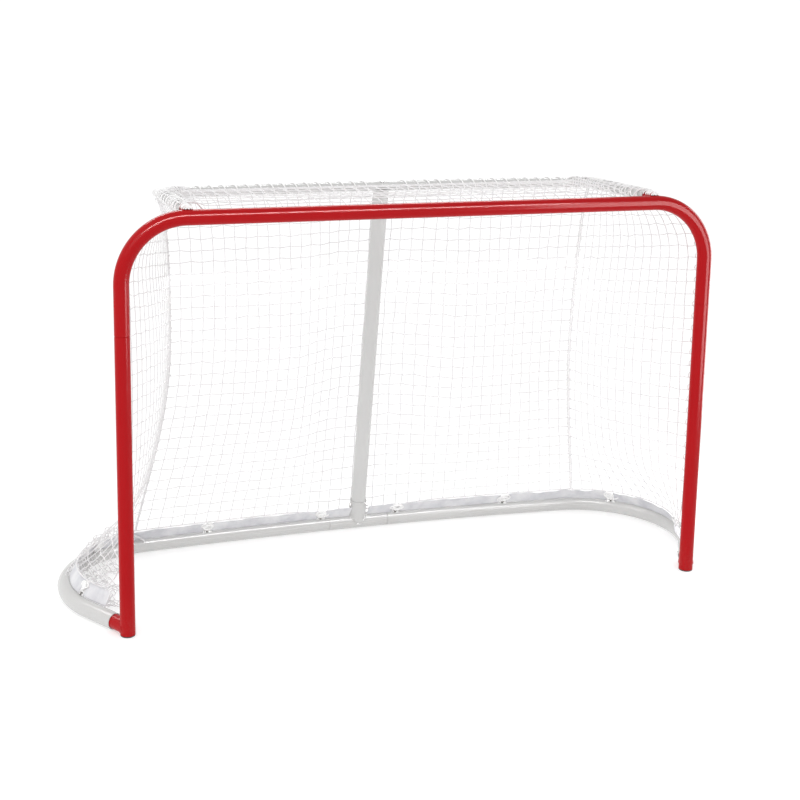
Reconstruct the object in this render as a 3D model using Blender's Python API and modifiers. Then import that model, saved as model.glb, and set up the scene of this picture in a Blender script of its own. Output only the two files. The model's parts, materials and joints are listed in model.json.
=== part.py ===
"""Roller hockey goal, modelled in Blender 4.5 as it comes apart on a bench.

Metres, +Z up. X runs along the crossbar, the goal line is y = 0 and +Y points to
the back of the goal. The goal stands on z = 0.
"""
import math

import bmesh
import bpy
from mathutils import Vector, geometry

# Clearances
GAP = 0.0003            # between pieces that touch
FIT_GAP = 0.0008        # all round between a tube and what slides into it
HOLE_GAP = 0.0004       # all round between a bolt and its hole

# Front frame: a red tube bent twice, on two straight posts
OPENING_WIDTH = 1.83    # between the posts
OPENING_HEIGHT = 1.22   # floor to the underside of the crossbar
FRAME_TUBE = 0.046
FRAME_WALL = 0.002
BEND_RADIUS = 0.19      # to the tube's middle line
SEAM_BELOW_BEND = 0.143         # where the bent tube meets the posts, below the start of its bend
SLEEVE_LENGTH = 0.16
FOOT_CAP = 0.004        # flange of the plug under a post
FOOT_PLUG_DEPTH = 0.022
FOOT_PLUG_EDGE = 0.0025

# Base: white rails that sleeve onto red stubs and meet a centre tube
RAIL_TUBE = 0.051
RAIL_WALL = 0.002
RAIL_FLARE = math.radians(31)    # how far the sides swing outward
RAIL_BOW = math.radians(4.5)     # how far the rear still turns past the corner
SIDE_RUN = 0.19                  # straight part, from the post's middle
CORNER_RADIUS = 0.32
RAIL_START = 0.060               # rail's end, from the post's middle
STUB_COVER = 0.07                # how much of a stub the rail covers
CENTRE_TUBE_LENGTH = 0.22
BASE_SEAM = 0.0016               # slit between a rail's end and the centre tube
SPIGOT_LENGTH = 0.13

# Leaning post at the back
SOCKET_TUBE = 0.0585
SOCKET_HEIGHT = 0.058            # above the base tube's top
SOCKET_BOLT_HEIGHT = 0.038
POST_TUBE = 0.051
POST_WALL = 0.002
POST_SEAT = 0.008                # post's end above the base tube's top
POST_COPE = 0.004                # how deep the shelf's rear bar sits in the post's top
INSERT_LENGTH = 0.03
INSERT_DOWN = 0.01               # insert's top below the shelf's rear bar
INSERT_FLOOR = 0.006             # left solid under the bolt's tip

# Top shelf that spreads the net behind the crossbar
SHELF_TUBE = 0.032
SHELF_WALL = 0.002
ARM_FROM_BEND = 0.003            # middle of each arm to the start of the crossbar's bend
SHELF_DEPTH = 0.44               # goal line to the ends of the rear bar
SHELF_BOW = 0.03                 # how far the rear bar bulges back
SHELF_RISE = 0.02                # its middle line above the crossbar's
SHELF_CORNER = 0.07
SHELF_START = 0.05               # arm's end, behind the goal line
SHELF_STUB_COVER = 0.05

# Rods that the net is laced to, behind the front frame
ROD = 0.006
ROD_STANDOFF = 0.008             # clear space between tube and rod
ROD_FOOT = 0.10                  # lowest point of the side rods
ROD_CORNER = 0.008
ROD_END_CLEAR = 0.012            # rod's end to the side of a shelf arm

# Netting, with fewer meshes than the real net
NET_CORD = 0.004
REAR_COLUMNS, SIDE_COLUMNS = 15, 6   # the rear's is odd, so that no cord runs into the post
NET_ROWS, TOP_ROWS = 9, 3
CREASE_ALONG = 0.80              # foot of the net's rear corner, along the base
PANEL_GAP = 0.009                # between the edge cords of two panels, middle to middle
CREASE_SAG = 0.05                # how far that corner hangs in from a straight line
CREASE_PULL = Vector((0.8, -0.6, 0))   # and which way, on the left
CREASE_LOW = 0.25                # how much more of that is low down
BACK_SAG = 0.035
SIDE_SAG = 0.03
TOP_SAG = 0.012
POST_PUSH = 0.30                 # half of the width that the leaning post pushes back
POST_PUSH_FLAT = 0.06            # half of the width where it lies against the post
NET_DRAW = 4                     # how quickly the front edge comes off the base to the rod, a power
NET_FOOT_LIFT = 0.0035           # its lowest cord above the rail's skin
NET_FOOT_ANGLE = math.radians(30)   # where the net's foot lies on the rail, outward from its top
NET_FRONT_FOOT = 0.16            # foot of the net's front edge, along the base

# Lacing round the rear bar of the shelf
LACE_CORD = 0.0045
LACE_TURNS = 8.75                # on each side of the leaning post
LACE_TURN_POINTS = 8
LACES_PER_MESH = 1.5
LACE_PHASE = 0.62                # of a turn, so that it passes between the net's cords

# Skirt of coated cloth above the base, and the studs with cord ties in its gaps
SKIRT_WIDTH = 0.052
SKIRT_THICK = 0.0015
SKIRT_SEAT = math.radians(28)    # where its foot lies on the rail, inward from the top
SKIRT_LEAN = math.radians(32)    # from upright, inward
SKIRT_WAVE = 0.002
SKIRT_WAVELENGTH = 0.17
SKIRT_FRONT = 0.12               # first end, along the base from the post
SKIRT_REAR_CLEAR = 0.004         # last end to the socket
SKIRT_STEP = 0.045               # longest facet
STUD = 0.006
STUD_HEAD = 0.015
STUD_HEAD_HEIGHT = 0.003
STUD_HEAD_BEVEL = 0.0015
TIE_CORD = 0.006                 # a ring of cord under each stud's head
TIE_GAP = 0.015                  # skirt's end to the stud's middle
TIE_FRONT, TIE_SIDE = 0.25, 0.64      # studs, along the base from the post
TIE_CORNER = 0.56                     # stud, along the base from the centre
TIE_REAR = 0.032                      # stud to the seam beside the centre tube

# Fasteners
BOLT = 0.008
BOLT_HEAD = 0.0165
BOLT_HEAD_HEIGHT = 0.005
NUT_WIDTH = 0.013
NUT_HEIGHT = 0.0065
SCREW = 0.005
SCREW_HEAD = 0.0095
SCREW_HEAD_HEIGHT = 0.0028
SCREW_LENGTH = 0.012
SCREW_FROM_SEAM = 0.035
HEAD_RIM = 0.16          # height of a domed head's upright rim, as a share of the head's

# Facets
TUBE_STEPS = 6           # a main tube has 4 + 2 * this many sides
SLEEVE_STEPS = 5
ROD_STEPS = 2
CORD_STEPS = 1
BEND_STEPS = 10
CORNER_STEPS = 12
SHELF_CORNER_STEPS = 6
REAR_STEPS = 5
ROUND_SIDES = 12
TIE_STEPS = 8
HEAD_STEPS = 3

# Worked out from the sizes above
POST_X = (OPENING_WIDTH + FRAME_TUBE) / 2
BAR_Z = OPENING_HEIGHT + FRAME_TUBE / 2
SEAM_HEIGHT = BAR_Z - BEND_RADIUS - SEAM_BELOW_BEND
SHELF_Z = BAR_Z + SHELF_RISE
SHELF_X = POST_X - BEND_RADIUS - ARM_FROM_BEND
RAIL_Z = RAIL_TUBE / 2
ROD_Y = FRAME_TUBE / 2 + ROD_STANDOFF + ROD / 2
NET_FRONT_Y = ROD_Y + (ROD + NET_CORD) / 2 + GAP
CORNER_ANGLE = math.pi / 2 + RAIL_FLARE - RAIL_BOW
CORNER_LENGTH = CORNER_RADIUS * CORNER_ANGLE
REAR_X = POST_X + SIDE_RUN * math.sin(RAIL_FLARE) - CORNER_RADIUS * (math.cos(RAIL_FLARE) - math.sin(RAIL_BOW))
REAR_RADIUS = REAR_X / math.sin(RAIL_BOW)     # so that the rear runs square to the centre plane
BASE_HALF = SIDE_RUN + CORNER_LENGTH + REAR_RADIUS * RAIL_BOW
BASE_SEAM_ALONG = BASE_HALF - CENTRE_TUBE_LENGTH / 2
TIES = {"front": TIE_FRONT, "side": TIE_SIDE, "corner": BASE_HALF - TIE_CORNER,
        "rear": BASE_SEAM_ALONG - TIE_REAR}


def srgb(red, green, blue):
    """A colour read off the photograph, as Blender's linear values."""
    def linear(value):
        value /= 255
        return value / 12.92 if value <= 0.04045 else ((value + 0.055) / 1.055) ** 2.4
    return (linear(red), linear(green), linear(blue), 1)


FINISHES = {
    "red_coat": (srgb(178, 20, 28), 0.28, 0.0),
    "white_coat": (srgb(222, 222, 224), 0.35, 0.0),
    "net_white": (srgb(244, 244, 244), 0.85, 0.0),
    "skirt_cloth": (srgb(208, 208, 214), 0.7, 0.0),
    "zinc_steel": (srgb(120, 118, 116), 0.4, 1.0),
    "black_plastic": (srgb(38, 30, 31), 0.5, 0.0),
}


def finish(name, kind):
    """A material of the node's own, with one of the goal's finishes."""
    colour, roughness, metallic = FINISHES[kind]
    material = bpy.data.materials.new(name + "_" + kind)
    material.use_nodes = True
    shader = material.node_tree.nodes["Principled BSDF"]
    shader.inputs["Base Color"].default_value = colour
    shader.inputs["Roughness"].default_value = roughness
    shader.inputs["Metallic"].default_value = metallic
    material.diffuse_color = colour
    return material


def add_object(name, data, kind):
    """Puts a piece into the goal's collection with its material."""
    piece = bpy.data.objects.new(name, data)
    PARTS.objects.link(piece)
    piece.data.materials.clear()
    piece.data.materials.append(finish(name, kind))
    return piece


def smooth(mesh):
    mesh.polygons.foreach_set("use_smooth", [True] * len(mesh.polygons))


def swept_mesh(points, diameter, steps, capped=True, closed=False):
    """A round rod or tube skin along the points, as a mesh with welded caps."""
    curve = bpy.data.curves.new("route", "CURVE")
    curve.dimensions = "3D"
    curve.bevel_depth = diameter / 2
    curve.bevel_resolution = steps
    curve.use_fill_caps = capped and not closed
    spline = curve.splines.new("POLY")
    spline.points.add(len(points) - 1)
    for point, place in zip(spline.points, points):
        point.co = (*place, 1)
    spline.use_cyclic_u = closed
    holder = bpy.data.objects.new("route", curve)
    PARTS.objects.link(holder)
    bpy.context.view_layer.update()
    mesh = bpy.data.meshes.new_from_object(holder.evaluated_get(bpy.context.evaluated_depsgraph_get()))
    bpy.data.objects.remove(holder)
    welded = bmesh.new()
    welded.from_mesh(mesh)
    bmesh.ops.remove_doubles(welded, verts=welded.verts, dist=1e-6)
    bmesh.ops.recalc_face_normals(welded, faces=welded.faces)
    welded.to_mesh(mesh)
    welded.free()
    smooth(mesh)
    return mesh


def rod(name, points, diameter, kind, steps=SLEEVE_STEPS, closed=False):
    """A solid round bar, wire or cord along the points."""
    return add_object(name, swept_mesh(points, diameter, steps, closed=closed), kind)


def tube(name, points, diameter, wall, kind, steps=TUBE_STEPS):
    """A hollow tube along the points: an open skin with a wall on its inside."""
    piece = add_object(name, swept_mesh(points, diameter, steps, capped=False), kind)
    shell = piece.modifiers.new("wall", "SOLIDIFY")
    shell.thickness = wall
    shell.offset = -1
    shell.use_even_offset = True
    return piece


def cut(piece, cutter):
    """Takes the cutter's shape out of the piece."""
    hole = piece.modifiers.new("cut_" + cutter.name, "BOOLEAN")
    hole.operation = "DIFFERENCE"
    hole.solver = "EXACT"
    hole.object = cutter


def weld(piece, other):
    """Makes another object part of the piece."""
    seam = piece.modifiers.new("weld_" + other.name, "BOOLEAN")
    seam.operation = "UNION"
    seam.solver = "EXACT"
    seam.object = other
    PARTS.objects.unlink(other)
    CUTTERS.objects.link(other)
    other.hide_render = True
    other.display_type = "WIRE"


def cutter_rod(name, start, end, diameter, sides=ROUND_SIDES):
    """A straight round cutter between two points."""
    start, end = Vector(start), Vector(end)
    shape = bmesh.new()
    bmesh.ops.create_cone(shape, cap_ends=True, segments=sides, radius1=diameter / 2,
                          radius2=diameter / 2, depth=(end - start).length)
    mesh = bpy.data.meshes.new(name)
    shape.to_mesh(mesh)
    shape.free()
    cutter = bpy.data.objects.new(name, mesh)
    cutter.location = (start + end) / 2
    cutter.rotation_mode = "QUATERNION"
    cutter.rotation_quaternion = (end - start).to_track_quat("Z", "X")
    cutter.hide_render = True
    cutter.display_type = "WIRE"
    CUTTERS.objects.link(cutter)
    return cutter


def turned(name, outline, place, direction, kind):
    """A turned piece: (radius, height) pairs spun round an axis that starts at place."""
    mesh = bpy.data.meshes.new(name)
    spun = bmesh.new()
    corners = [spun.verts.new((radius, 0, height)) for radius, height in outline]
    for first, second in zip(corners, corners[1:]):
        spun.edges.new((first, second))
    spun.to_mesh(mesh)
    spun.free()
    piece = add_object(name, mesh, kind)
    lathe = piece.modifiers.new("lathe", "SCREW")
    lathe.steps = ROUND_SIDES
    lathe.render_steps = ROUND_SIDES
    lathe.use_merge_vertices = True
    lathe.merge_threshold = 0.00001
    lathe.use_normal_flip = True
    lathe.use_smooth_shade = False
    piece.location = place
    piece.rotation_mode = "QUATERNION"
    piece.rotation_quaternion = Vector(direction).to_track_quat("Z", "X")
    return piece


def domed_bolt(name, place, direction, diameter, head, head_height, length):
    """A bolt with a domed head whose seat is at place and whose shank runs along direction."""
    crown = [(0, -head_height)]
    for step in range(1, HEAD_STEPS + 1):
        turn = math.pi / 2 * step / HEAD_STEPS
        crown.append((head / 2 * math.sin(turn), -head_height * (HEAD_RIM + (1 - HEAD_RIM) * math.cos(turn))))
    outline = crown + [(head / 2, 0), (diameter / 2, 0), (diameter / 2, length), (0, length)]
    return turned(name, outline, place, direction, "zinc_steel")


def screw(name, seat, direction):
    """A short screw with its head on seat; returns the cutter for its hole."""
    direction = Vector(direction).normalized()
    seat = Vector(seat)
    domed_bolt(name, seat, direction, SCREW, SCREW_HEAD, SCREW_HEAD_HEIGHT, SCREW_LENGTH)
    return cutter_rod(name + "_hole", seat - direction * SCREW_LENGTH,
                      seat + direction * (SCREW_LENGTH + 2 * GAP), SCREW + 2 * HOLE_GAP)


def hex_nut(name, place, direction):
    """A hexagon nut with its near face at place, bored for the bolt."""
    direction = Vector(direction).normalized()
    place = Vector(place)
    shape = bmesh.new()
    across_corners = NUT_WIDTH / math.cos(math.radians(30))
    bmesh.ops.create_cone(shape, cap_ends=True, segments=6, radius1=across_corners / 2,
                          radius2=across_corners / 2, depth=NUT_HEIGHT)
    mesh = bpy.data.meshes.new(name)
    shape.to_mesh(mesh)
    shape.free()
    nut = add_object(name, mesh, "zinc_steel")
    nut.location = place + direction * NUT_HEIGHT / 2
    nut.rotation_mode = "QUATERNION"
    nut.rotation_quaternion = direction.to_track_quat("Z", "X")
    reach = direction * NUT_HEIGHT
    cut(nut, cutter_rod(name + "_bore", place - reach, place + 2 * reach, BOLT + 2 * GAP))
    return nut


def base_point(along, inward=0.0, height=0.0):
    """A place at a distance along the base's middle line from the left post, moved inward."""
    if along > BASE_HALF:
        x, y, z = base_point(2 * BASE_HALF - along, inward, height)
        return (-x, y, z)
    heading = math.pi / 2 + RAIL_FLARE
    x = -POST_X + math.cos(heading) * min(along, SIDE_RUN)
    y = math.sin(heading) * min(along, SIDE_RUN)
    for start, length, radius in ((SIDE_RUN, CORNER_LENGTH, CORNER_RADIUS),
                                  (SIDE_RUN + CORNER_LENGTH, BASE_HALF, REAR_RADIUS)):
        if along > start:
            turn = min(along - start, length) / radius
            centre_x = x + radius * math.sin(heading)
            centre_y = y - radius * math.cos(heading)
            heading -= turn
            x = centre_x - radius * math.sin(heading)
            y = centre_y + radius * math.cos(heading)
    return (x + inward * math.sin(heading), y - inward * math.cos(heading), height)


def base_route(start, end, inward=0.0, height=RAIL_Z):
    """Points along the base between two distances, closer together round the corners."""
    corner_end = SIDE_RUN + CORNER_LENGTH
    marks = [SIDE_RUN + CORNER_LENGTH * step / CORNER_STEPS for step in range(CORNER_STEPS + 1)]
    rear = BASE_HALF - corner_end
    marks += [corner_end + rear * step / REAR_STEPS for step in range(1, REAR_STEPS + 1)]
    marks += [2 * BASE_HALF - mark for mark in marks]
    between = sorted(mark for mark in set(marks) if start + 0.004 < mark < end - 0.004)
    return [base_point(mark, inward, height) for mark in (start, *between, end)]


def arc(centre, radius, start, end, steps, place):
    """Points of an arc between two angles, each turned into a place by the given function."""
    points = []
    for step in range(steps + 1):
        angle = start + (end - start) * step / steps
        points.append(place(centre[0] + radius * math.cos(angle), centre[1] + radius * math.sin(angle)))
    return points


def side_name(side):
    return "left" if side < 0 else "right"


def front_frame():
    """The bent crossbar, both posts, the sleeves that join them and their foot plugs."""
    bend_z = BAR_Z - BEND_RADIUS
    bend_x = POST_X - BEND_RADIUS
    upright = lambda x, z: (x, 0, z)
    route = [(-POST_X, 0, SEAM_HEIGHT + GAP / 2)]
    route += arc((-bend_x, bend_z), BEND_RADIUS, math.pi, math.pi / 2, BEND_STEPS, upright)
    route += arc((bend_x, bend_z), BEND_RADIUS, math.pi / 2, 0, BEND_STEPS, upright)
    route += [(POST_X, 0, SEAM_HEIGHT + GAP / 2)]
    tube("crossbar", route, FRAME_TUBE, FRAME_WALL, "red_coat")
    bore = FRAME_TUBE - 2 * FRAME_WALL
    for side in (-1, 1):
        x = side * POST_X
        name = side_name(side)
        post = tube(name + "_post", [(x, 0, FOOT_CAP + GAP), (x, 0, SEAM_HEIGHT - GAP / 2)],
                    FRAME_TUBE, FRAME_WALL, "red_coat")
        sleeve = tube(name + "_post_sleeve",
                      [(x, 0, SEAM_HEIGHT - SLEEVE_LENGTH / 2), (x, 0, SEAM_HEIGHT + SLEEVE_LENGTH / 2)],
                      bore - 2 * FIT_GAP, FRAME_WALL, "zinc_steel", SLEEVE_STEPS)
        z = SEAM_HEIGHT - SCREW_FROM_SEAM
        hole = screw(name + "_seam_screw", (x, FRAME_TUBE / 2 + GAP, z), (0, -1, 0))
        cut(post, hole)
        cut(sleeve, hole)
        flange = FRAME_TUBE / 2 - GAP
        shaft = bore / 2 - FIT_GAP
        turned(name + "_foot_plug",
               [(0, 0), (flange - FOOT_PLUG_EDGE, 0), (flange, FOOT_PLUG_EDGE), (flange, FOOT_CAP),
                (shaft, FOOT_CAP), (shaft, FOOT_CAP + FOOT_PLUG_DEPTH - FOOT_PLUG_EDGE),
                (shaft - FOOT_PLUG_EDGE, FOOT_CAP + FOOT_PLUG_DEPTH), (0, FOOT_CAP + FOOT_PLUG_DEPTH)],
               (x, 0, 0), (0, 0, 1), "black_plastic")


def base_frame():
    """Red stubs behind the posts, the two bent rails, the centre tube and its spigots."""
    bore = RAIL_TUBE - 2 * RAIL_WALL
    centre_start = BASE_SEAM_ALONG + BASE_SEAM / 2
    tube("base_centre_tube", base_route(centre_start, 2 * BASE_HALF - centre_start), RAIL_TUBE, RAIL_WALL,
         "white_coat")
    for side in (-1, 1):
        name = side_name(side)
        mirror = lambda place: (-side * place[0], place[1], place[2])
        rail_route = [mirror(place) for place in base_route(RAIL_START, BASE_SEAM_ALONG - BASE_SEAM / 2)]
        rail = tube(name + "_base_rail", rail_route, RAIL_TUBE, RAIL_WALL, "white_coat")
        stub_route = [mirror(base_point(along, 0, RAIL_Z)) for along in (0, RAIL_START + STUB_COVER)]
        stub = tube(name + "_foot_stub", stub_route, bore - 2 * FIT_GAP, FRAME_WALL, "red_coat", SLEEVE_STEPS)
        cut(stub, cutter_rod(name + "_cope", (side * POST_X, 0, -RAIL_TUBE), (side * POST_X, 0, 2 * RAIL_TUBE),
                             FRAME_TUBE + 2 * GAP, 2 * ROUND_SIDES))
        screw_along = RAIL_START + STUB_COVER / 2
        seat = Vector(mirror(base_point(screw_along, RAIL_TUBE / 2 + GAP, RAIL_Z)))
        axis = Vector(mirror(base_point(screw_along, 0, RAIL_Z)))
        hole = screw(name + "_rail_screw", seat, axis - seat)
        cut(rail, hole)
        cut(stub, hole)
        ends = []
        for step in (-1, 1):
            ends.append(mirror(base_point(BASE_SEAM_ALONG + step * SPIGOT_LENGTH / 2, 0, RAIL_Z)))
        spigot = tube(name + "_base_spigot", ends, bore - 2 * FIT_GAP, RAIL_WALL, "zinc_steel", SLEEVE_STEPS)
        seat = mirror(base_point(BASE_SEAM_ALONG - SCREW_FROM_SEAM, -RAIL_TUBE / 2 - GAP, RAIL_Z))
        hole = screw(name + "_base_seam_screw", seat, (0, -1, 0))
        cut(rail, hole)
        cut(spigot, hole)
        for tie, along in TIES.items():
            along = along if side < 0 else 2 * BASE_HALF - along
            weld(rail, net_tie("%s_%s" % (name, tie), along))


def net_tie(name, along):
    """A ring of cord on the rail, between the skirt's lengths; returns the headed stud that holds it."""
    middle = Vector(base_point(along, 0, RAIL_Z))
    inward = Vector(base_point(along, 1, RAIL_Z)) - middle
    up = inward * math.sin(SKIRT_SEAT) + Vector((0, 0, 1)) * math.cos(SKIRT_SEAT)
    sideways = up.cross(inward).normalized()
    level = sideways.cross(up)
    surface = middle + up * RAIL_TUBE / 2
    under_head = TIE_CORD + 4 * GAP
    crown = under_head + STUD_HEAD_HEIGHT
    outline = [(0, -RAIL_WALL / 2), (STUD / 2, -RAIL_WALL / 2), (STUD / 2, under_head),
               (STUD_HEAD / 2, under_head), (STUD_HEAD / 2 - STUD_HEAD_BEVEL, crown), (0, crown)]
    stud = turned(name + "_stud", outline, surface, up, "white_coat")
    radius = (STUD + TIE_CORD) / 2 + GAP
    centre = surface + up * (TIE_CORD / 2 + 2 * GAP)
    turns = [2 * math.pi * step / TIE_STEPS for step in range(TIE_STEPS)]
    ring = [centre + radius * (sideways * math.cos(turn) + level * math.sin(turn)) for turn in turns]
    rod(name + "_tie", ring, TIE_CORD, "net_white", CORD_STEPS, closed=True)
    return stud


def shelf_y(x):
    """How far back the shelf's rear bar is at x: an arc that bulges at the middle."""
    radius = (SHELF_X ** 2 + SHELF_BOW ** 2) / (2 * SHELF_BOW)
    return SHELF_DEPTH + SHELF_BOW - radius + math.sqrt(radius ** 2 - x ** 2)


def shelf_frame():
    """The bent shelf tube on two red stubs, with its screws; returns the tube."""
    start = (-SHELF_X, SHELF_START, SHELF_Z)
    flat = lambda x, y: (x, y, SHELF_Z)
    half = [start]
    turn_x = -SHELF_X + SHELF_CORNER
    turn_y = shelf_y(turn_x) - SHELF_CORNER
    half += arc((turn_x, turn_y), SHELF_CORNER, math.pi, math.pi / 2, SHELF_CORNER_STEPS, flat)
    for step in range(1, REAR_STEPS + 1):
        x = turn_x * (1 - step / REAR_STEPS)
        half.append(flat(x, shelf_y(x)))
    route = half + [(-x, y, z) for x, y, z in half[-2::-1]]
    shelf = tube("shelf_tube", route, SHELF_TUBE, SHELF_WALL, "white_coat", SLEEVE_STEPS)
    for side in (-1, 1):
        name = side_name(side)
        x = side * SHELF_X
        stub = rod(name + "_shelf_stub", [(x, 0, SHELF_Z), (x, SHELF_START + SHELF_STUB_COVER, SHELF_Z)],
                   SHELF_TUBE - 2 * SHELF_WALL - 2 * FIT_GAP, "red_coat")
        cut(stub, cutter_rod(name + "_shelf_cope", (x - SHELF_TUBE, 0, BAR_Z), (x + SHELF_TUBE, 0, BAR_Z),
                             FRAME_TUBE + 2 * GAP, 2 * ROUND_SIDES))
        seat = (x, SHELF_START + SHELF_STUB_COVER / 2, SHELF_Z + SHELF_TUBE / 2 + GAP)
        hole = screw(name + "_shelf_screw", seat, (0, 0, -1))
        cut(shelf, hole)
        cut(stub, hole)
    return shelf


def post_line():
    """The leaning post's middle line: its foot on the base's, its head on the shelf's."""
    return Vector(base_point(BASE_HALF, 0, RAIL_Z)), Vector((0, shelf_y(0), SHELF_Z))


def centre_post(shelf):
    """The leaning post from the base's socket to the shelf's rear bar, with its bolts."""
    foot, head = post_line()
    lean = (head - foot).normalized()
    base_top = RAIL_TUBE / 2 / lean.z
    socket = tube("post_socket", [foot, foot + lean * (base_top + SOCKET_HEIGHT)], SOCKET_TUBE,
                  SOCKET_TUBE / 2 - POST_TUBE / 2 - FIT_GAP, "white_coat")
    past = Vector((POST_TUBE, 0, 0))
    cut(socket, cutter_rod("socket_cope", foot - past, foot + past, RAIL_TUBE + 4 * GAP, 2 * ROUND_SIDES))
    post_top = head - lean * (SHELF_TUBE / 2 - POST_COPE)
    post = tube("centre_post", [foot + lean * (base_top + POST_SEAT), post_top], POST_TUBE, POST_WALL,
                "white_coat")
    cut(post, cutter_rod("post_cope", head - past, head + past, SHELF_TUBE + 4 * GAP, 2 * ROUND_SIDES))
    across = Vector((1, 0, 0))
    bolt_at = foot + lean * (base_top + SOCKET_BOLT_HEIGHT)
    reach = across * (SOCKET_TUBE / 2 + GAP)
    domed_bolt("socket_bolt", bolt_at - reach, across, BOLT, BOLT_HEAD, BOLT_HEAD_HEIGHT,
               2 * reach.length + NUT_HEIGHT + GAP)
    hex_nut("socket_nut", bolt_at + reach, across)
    hole = cutter_rod("socket_hole", bolt_at - 2 * reach, bolt_at + 2 * reach, BOLT + 2 * HOLE_GAP)
    cut(socket, hole)
    cut(post, hole)
    insert_top = head - lean * (SHELF_TUBE / 2 + INSERT_DOWN)
    insert = rod("post_insert", [insert_top - lean * INSERT_LENGTH, insert_top],
                 POST_TUBE - 2 * POST_WALL - 2 * FIT_GAP, "black_plastic")
    seat = head + lean * (SHELF_TUBE / 2 + 2 * GAP)
    length = (seat - insert_top).length + INSERT_LENGTH - INSERT_FLOOR
    domed_bolt("shelf_centre_bolt", seat, -lean, BOLT, BOLT_HEAD, BOLT_HEAD_HEIGHT, length)
    hole = cutter_rod("shelf_centre_hole", seat + lean * BOLT, seat - lean * (length + 2 * GAP),
                      BOLT + 2 * HOLE_GAP)
    cut(shelf, hole)
    cut(insert, hole)


def lacing_rods():
    """Wires behind the front frame that the net's front edges are laced to."""
    bend_x, bend_z = POST_X - BEND_RADIUS, BAR_Z - BEND_RADIUS
    arm_side = SHELF_X + SHELF_TUBE / 2 + ROD_END_CLEAR
    last = math.acos((arm_side - bend_x) / BEND_RADIUS)
    touch = FRAME_TUBE / 2 + GAP
    behind = lambda x, z: (x, ROD_Y, z)
    for side in (-1, 1):
        route = [(POST_X, touch, ROD_FOOT), (POST_X, ROD_Y - ROD_CORNER, ROD_FOOT)]
        route += [(POST_X, ROD_Y, ROD_FOOT + ROD_CORNER)]
        route += arc((bend_x, bend_z), BEND_RADIUS, 0, last, BEND_STEPS, behind)
        end_x, _, end_z = route[-1]
        foot_x = end_x - ROD_CORNER / 2
        route += [(foot_x, ROD_Y - ROD_CORNER / 2, end_z), (foot_x, touch, end_z)]
        route = [(side * x, y, z) for x, y, z in route]
        rod(side_name(side) + "_lacing_rod", route, ROD, "red_coat", ROD_STEPS)
    inner = SHELF_X - SHELF_TUBE / 2 - ROD_END_CLEAR
    route = [(-inner, touch, BAR_Z), (-inner, ROD_Y - ROD_CORNER, BAR_Z), (-inner + ROD_CORNER, ROD_Y, BAR_Z)]
    route += [(-x, y, z) for x, y, z in route[::-1]]
    rod("crossbar_lacing_rod", route, ROD, "red_coat", ROD_STEPS)


def between(first, second, share):
    return first + (second - first) * share


def coons(left, right, bottom, top):
    """A surface stretched between four edges: (u, v) runs 0 to 1 across and upward."""
    def surface(u, v):
        across = between(left(v), right(v), u)
        upward = between(bottom(u), top(u), v)
        corners = between(between(bottom(0), bottom(1), u), between(top(0), top(1), u), v)
        return across + upward - corners
    return surface


def net_foot(along):
    """The net's lowest cord, which lies on the outside of the base rail."""
    reach = RAIL_TUBE / 2 + NET_CORD / 2 + NET_FOOT_LIFT
    outward, up = reach * math.sin(NET_FOOT_ANGLE), reach * math.cos(NET_FOOT_ANGLE)
    return Vector(base_point(along, -outward, RAIL_Z + up))


def net_edge():
    """Half of the net's width at the shelf, just outside its arms."""
    return SHELF_X + SHELF_TUBE / 2 + NET_CORD / 2 + 2 * GAP


def net_shelf(x):
    """The back net's top cord, behind the shelf's rear bar."""
    reach = SHELF_TUBE / 2 + NET_CORD / 2 + 2 * GAP
    return Vector((x, shelf_y(x) + reach, SHELF_Z))


def crease(side, v):
    """The net's rear corner: from the base it sweeps up and in, then hangs from the shelf."""
    foot = net_foot(CREASE_ALONG)
    top = net_shelf(-net_edge())
    place = between(foot, top, v)
    low_down = 1 + CREASE_LOW * (1 - 2 * v)
    place += CREASE_PULL * CREASE_SAG * math.sin(math.pi * v) * low_down
    return Vector((place.x * -side, place.y, place.z))


def behind_post(z):
    """How far back a net cord must be to pass behind the leaning post, or its socket, at a height."""
    foot, head = post_line()
    lean = (head - foot).normalized()
    socket_top = RAIL_TUBE + SOCKET_HEIGHT + NET_CORD
    radius = (SOCKET_TUBE if z < socket_top else POST_TUBE) / 2
    return foot.y + (z - foot.z) * lean.y / lean.z + (radius + NET_CORD / 2 + 3 * GAP) / lean.z


def back_surface():
    """The back of the net, held by the shelf, the base and, at its middle, the leaning post."""
    step = PANEL_GAP / 2
    edge = 2 * BASE_HALF - 2 * CREASE_ALONG
    left = lambda v: crease(-1, v) + Vector((step, 0, 0))
    right = lambda v: crease(1, v) - Vector((step, 0, 0))
    bottom = lambda u: net_foot(CREASE_ALONG + edge * u) + Vector((step * (1 - 2 * u), 0, 0))
    top_edge = left(1).x
    top = lambda u: net_shelf(top_edge * (1 - 2 * u))
    patch = coons(left, right, bottom, top)
    def surface(u, v):
        lobes = math.sin(2 * math.pi * u) ** 2
        place = patch(u, v) - Vector((0, BACK_SAG * lobes * math.sin(math.pi * v), 0))
        near = (POST_PUSH - abs(place.x)) / (POST_PUSH - POST_PUSH_FLAT)
        near = max(0, min(1, near))
        near = near * near * (3 - 2 * near)
        held = v < 1
        place.y += held * near * max(0, behind_post(place.z) - place.y)
        return place
    return surface


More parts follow.
